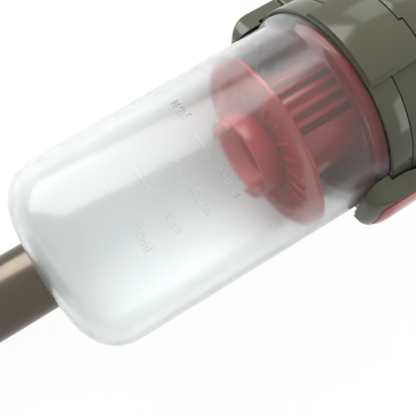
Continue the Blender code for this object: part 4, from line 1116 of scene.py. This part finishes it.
NOZZLE_WALL = 2.4 * MM
NOZZLE_EDGE = 1.6 * MM
LIP_HEIGHT = 17.0 * MM
NOZZLE_RISE = 8.0 * MM
SKID = 3.0 * MM
CREST_X = HINGE_X - 28.5 * MM
NOZZLE_BACK_X = HINGE_X - 18.6 * MM
HOLLOW_END_X = HINGE_X - 21.0 * MM
CHEEK_RADIUS = 9.0 * MM
CHEEK_HALF = 3.5 * MM
CHEEK_OFFSET = 25.0 * MM


def nozzle_outline(inset):
    """Side view of the nozzle: low rounded front, top rising to the hinge, flat underneath."""
    front = HINGE_X - NOZZLE_DEPTH + inset
    back = NOZZLE_BACK_X - inset
    lip = FLOOR_Z + LIP_HEIGHT - inset
    rise = NOZZLE_RISE - inset
    return rounded([(back, FLOOR_Z + SKID, 0), (front, FLOOR_Z + SKID, 0), (front, lip, 5.0 * MM),
                    (CREST_X, rise, 6.0 * MM), (back, rise, 1.2 * MM)], 8)


def cheek():
    """One of the two lugs that hold the pivot pins."""
    outline = [(CREST_X, FLOOR_Z), (HINGE_X + 4.8 * MM, FLOOR_Z), (HINGE_X + 7.8 * MM, FLOOR_Z + SKID)]
    outline += arc(HINGE_X, 0, CHEEK_RADIUS, -30, 90, 20) + [(CREST_X, CHEEK_RADIUS)]
    return soft_edges(prism(outline, -CHEEK_HALF, CHEEK_HALF, along_y), 0.6 * MM, 3, 50.0)


def make_nozzle():
    half = NOZZLE_WIDTH / 2
    inner_half = half - NOZZLE_WALL
    bm = soft_edges(prism(nozzle_outline(0), -half, half, along_y), NOZZLE_EDGE, 4, 50.0)
    cheeks = copies(cheek, [Matrix.Translation((0, y, 0)) for y in (-CHEEK_OFFSET, CHEEK_OFFSET)])
    seat = cross_rod(HINGE_X, BARREL_RADIUS + BARREL_CLEARANCE, BARREL_HALF + BARREL_CLEARANCE, 96)
    below = FLOOR_Z - MM
    inside = [(min(x, HOLLOW_END_X), z if z > FLOOR_Z + SKID + MM else below)
              for x, z in nozzle_outline(NOZZLE_WALL)]
    hollow = prism(inside, -inner_half, inner_half, along_y)
    flow = rod(HOLLOW_END_X - MM, HINGE_X, FLOW_RADIUS, 64)
    axle = cross_rod(HINGE_X, PIVOT_RADIUS, CHEEK_OFFSET + 5.0 * MM, 32)
    body = shaped(bm, ("UNION", cheeks), ("DIFFERENCE", seat), ("DIFFERENCE", hollow), ("DIFFERENCE", flow),
                  ("DIFFERENCE", axle))
    finish_piece("nozzle_housing", body, TUBE_PLACE, SHELL, "nozzle", "nozzle", "nozzle_body")


# The solids that stay in view get their own looks
KEPT = {
    STEEL: ("latch_pin_left", "latch_pin_right", "latch_spring_left", "latch_spring_right", "pivot_pin_left",
            "pivot_pin_right", "plate_screw_1", "plate_screw_2", "plate_screw_3", "plate_screw_4"),
    RUBBER: ("tube_seal", "front_squeegee", "rear_squeegee"),
    SHELL: ("nozzle_plate",),
}


def dress_kept():
    for look, names in KEPT.items():
        for name in names:
            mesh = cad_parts[name].data
            mesh.materials.clear()
            mesh.materials.append(look)


make_cup()
make_scale()
make_cage()
make_disc()
make_drop_tube()
make_front_ring()
make_head_body()
make_dome()
make_elbow()
make_outlet()
make_covers()
make_latches()
make_tube()
make_neck()
make_nozzle()
dress_kept()
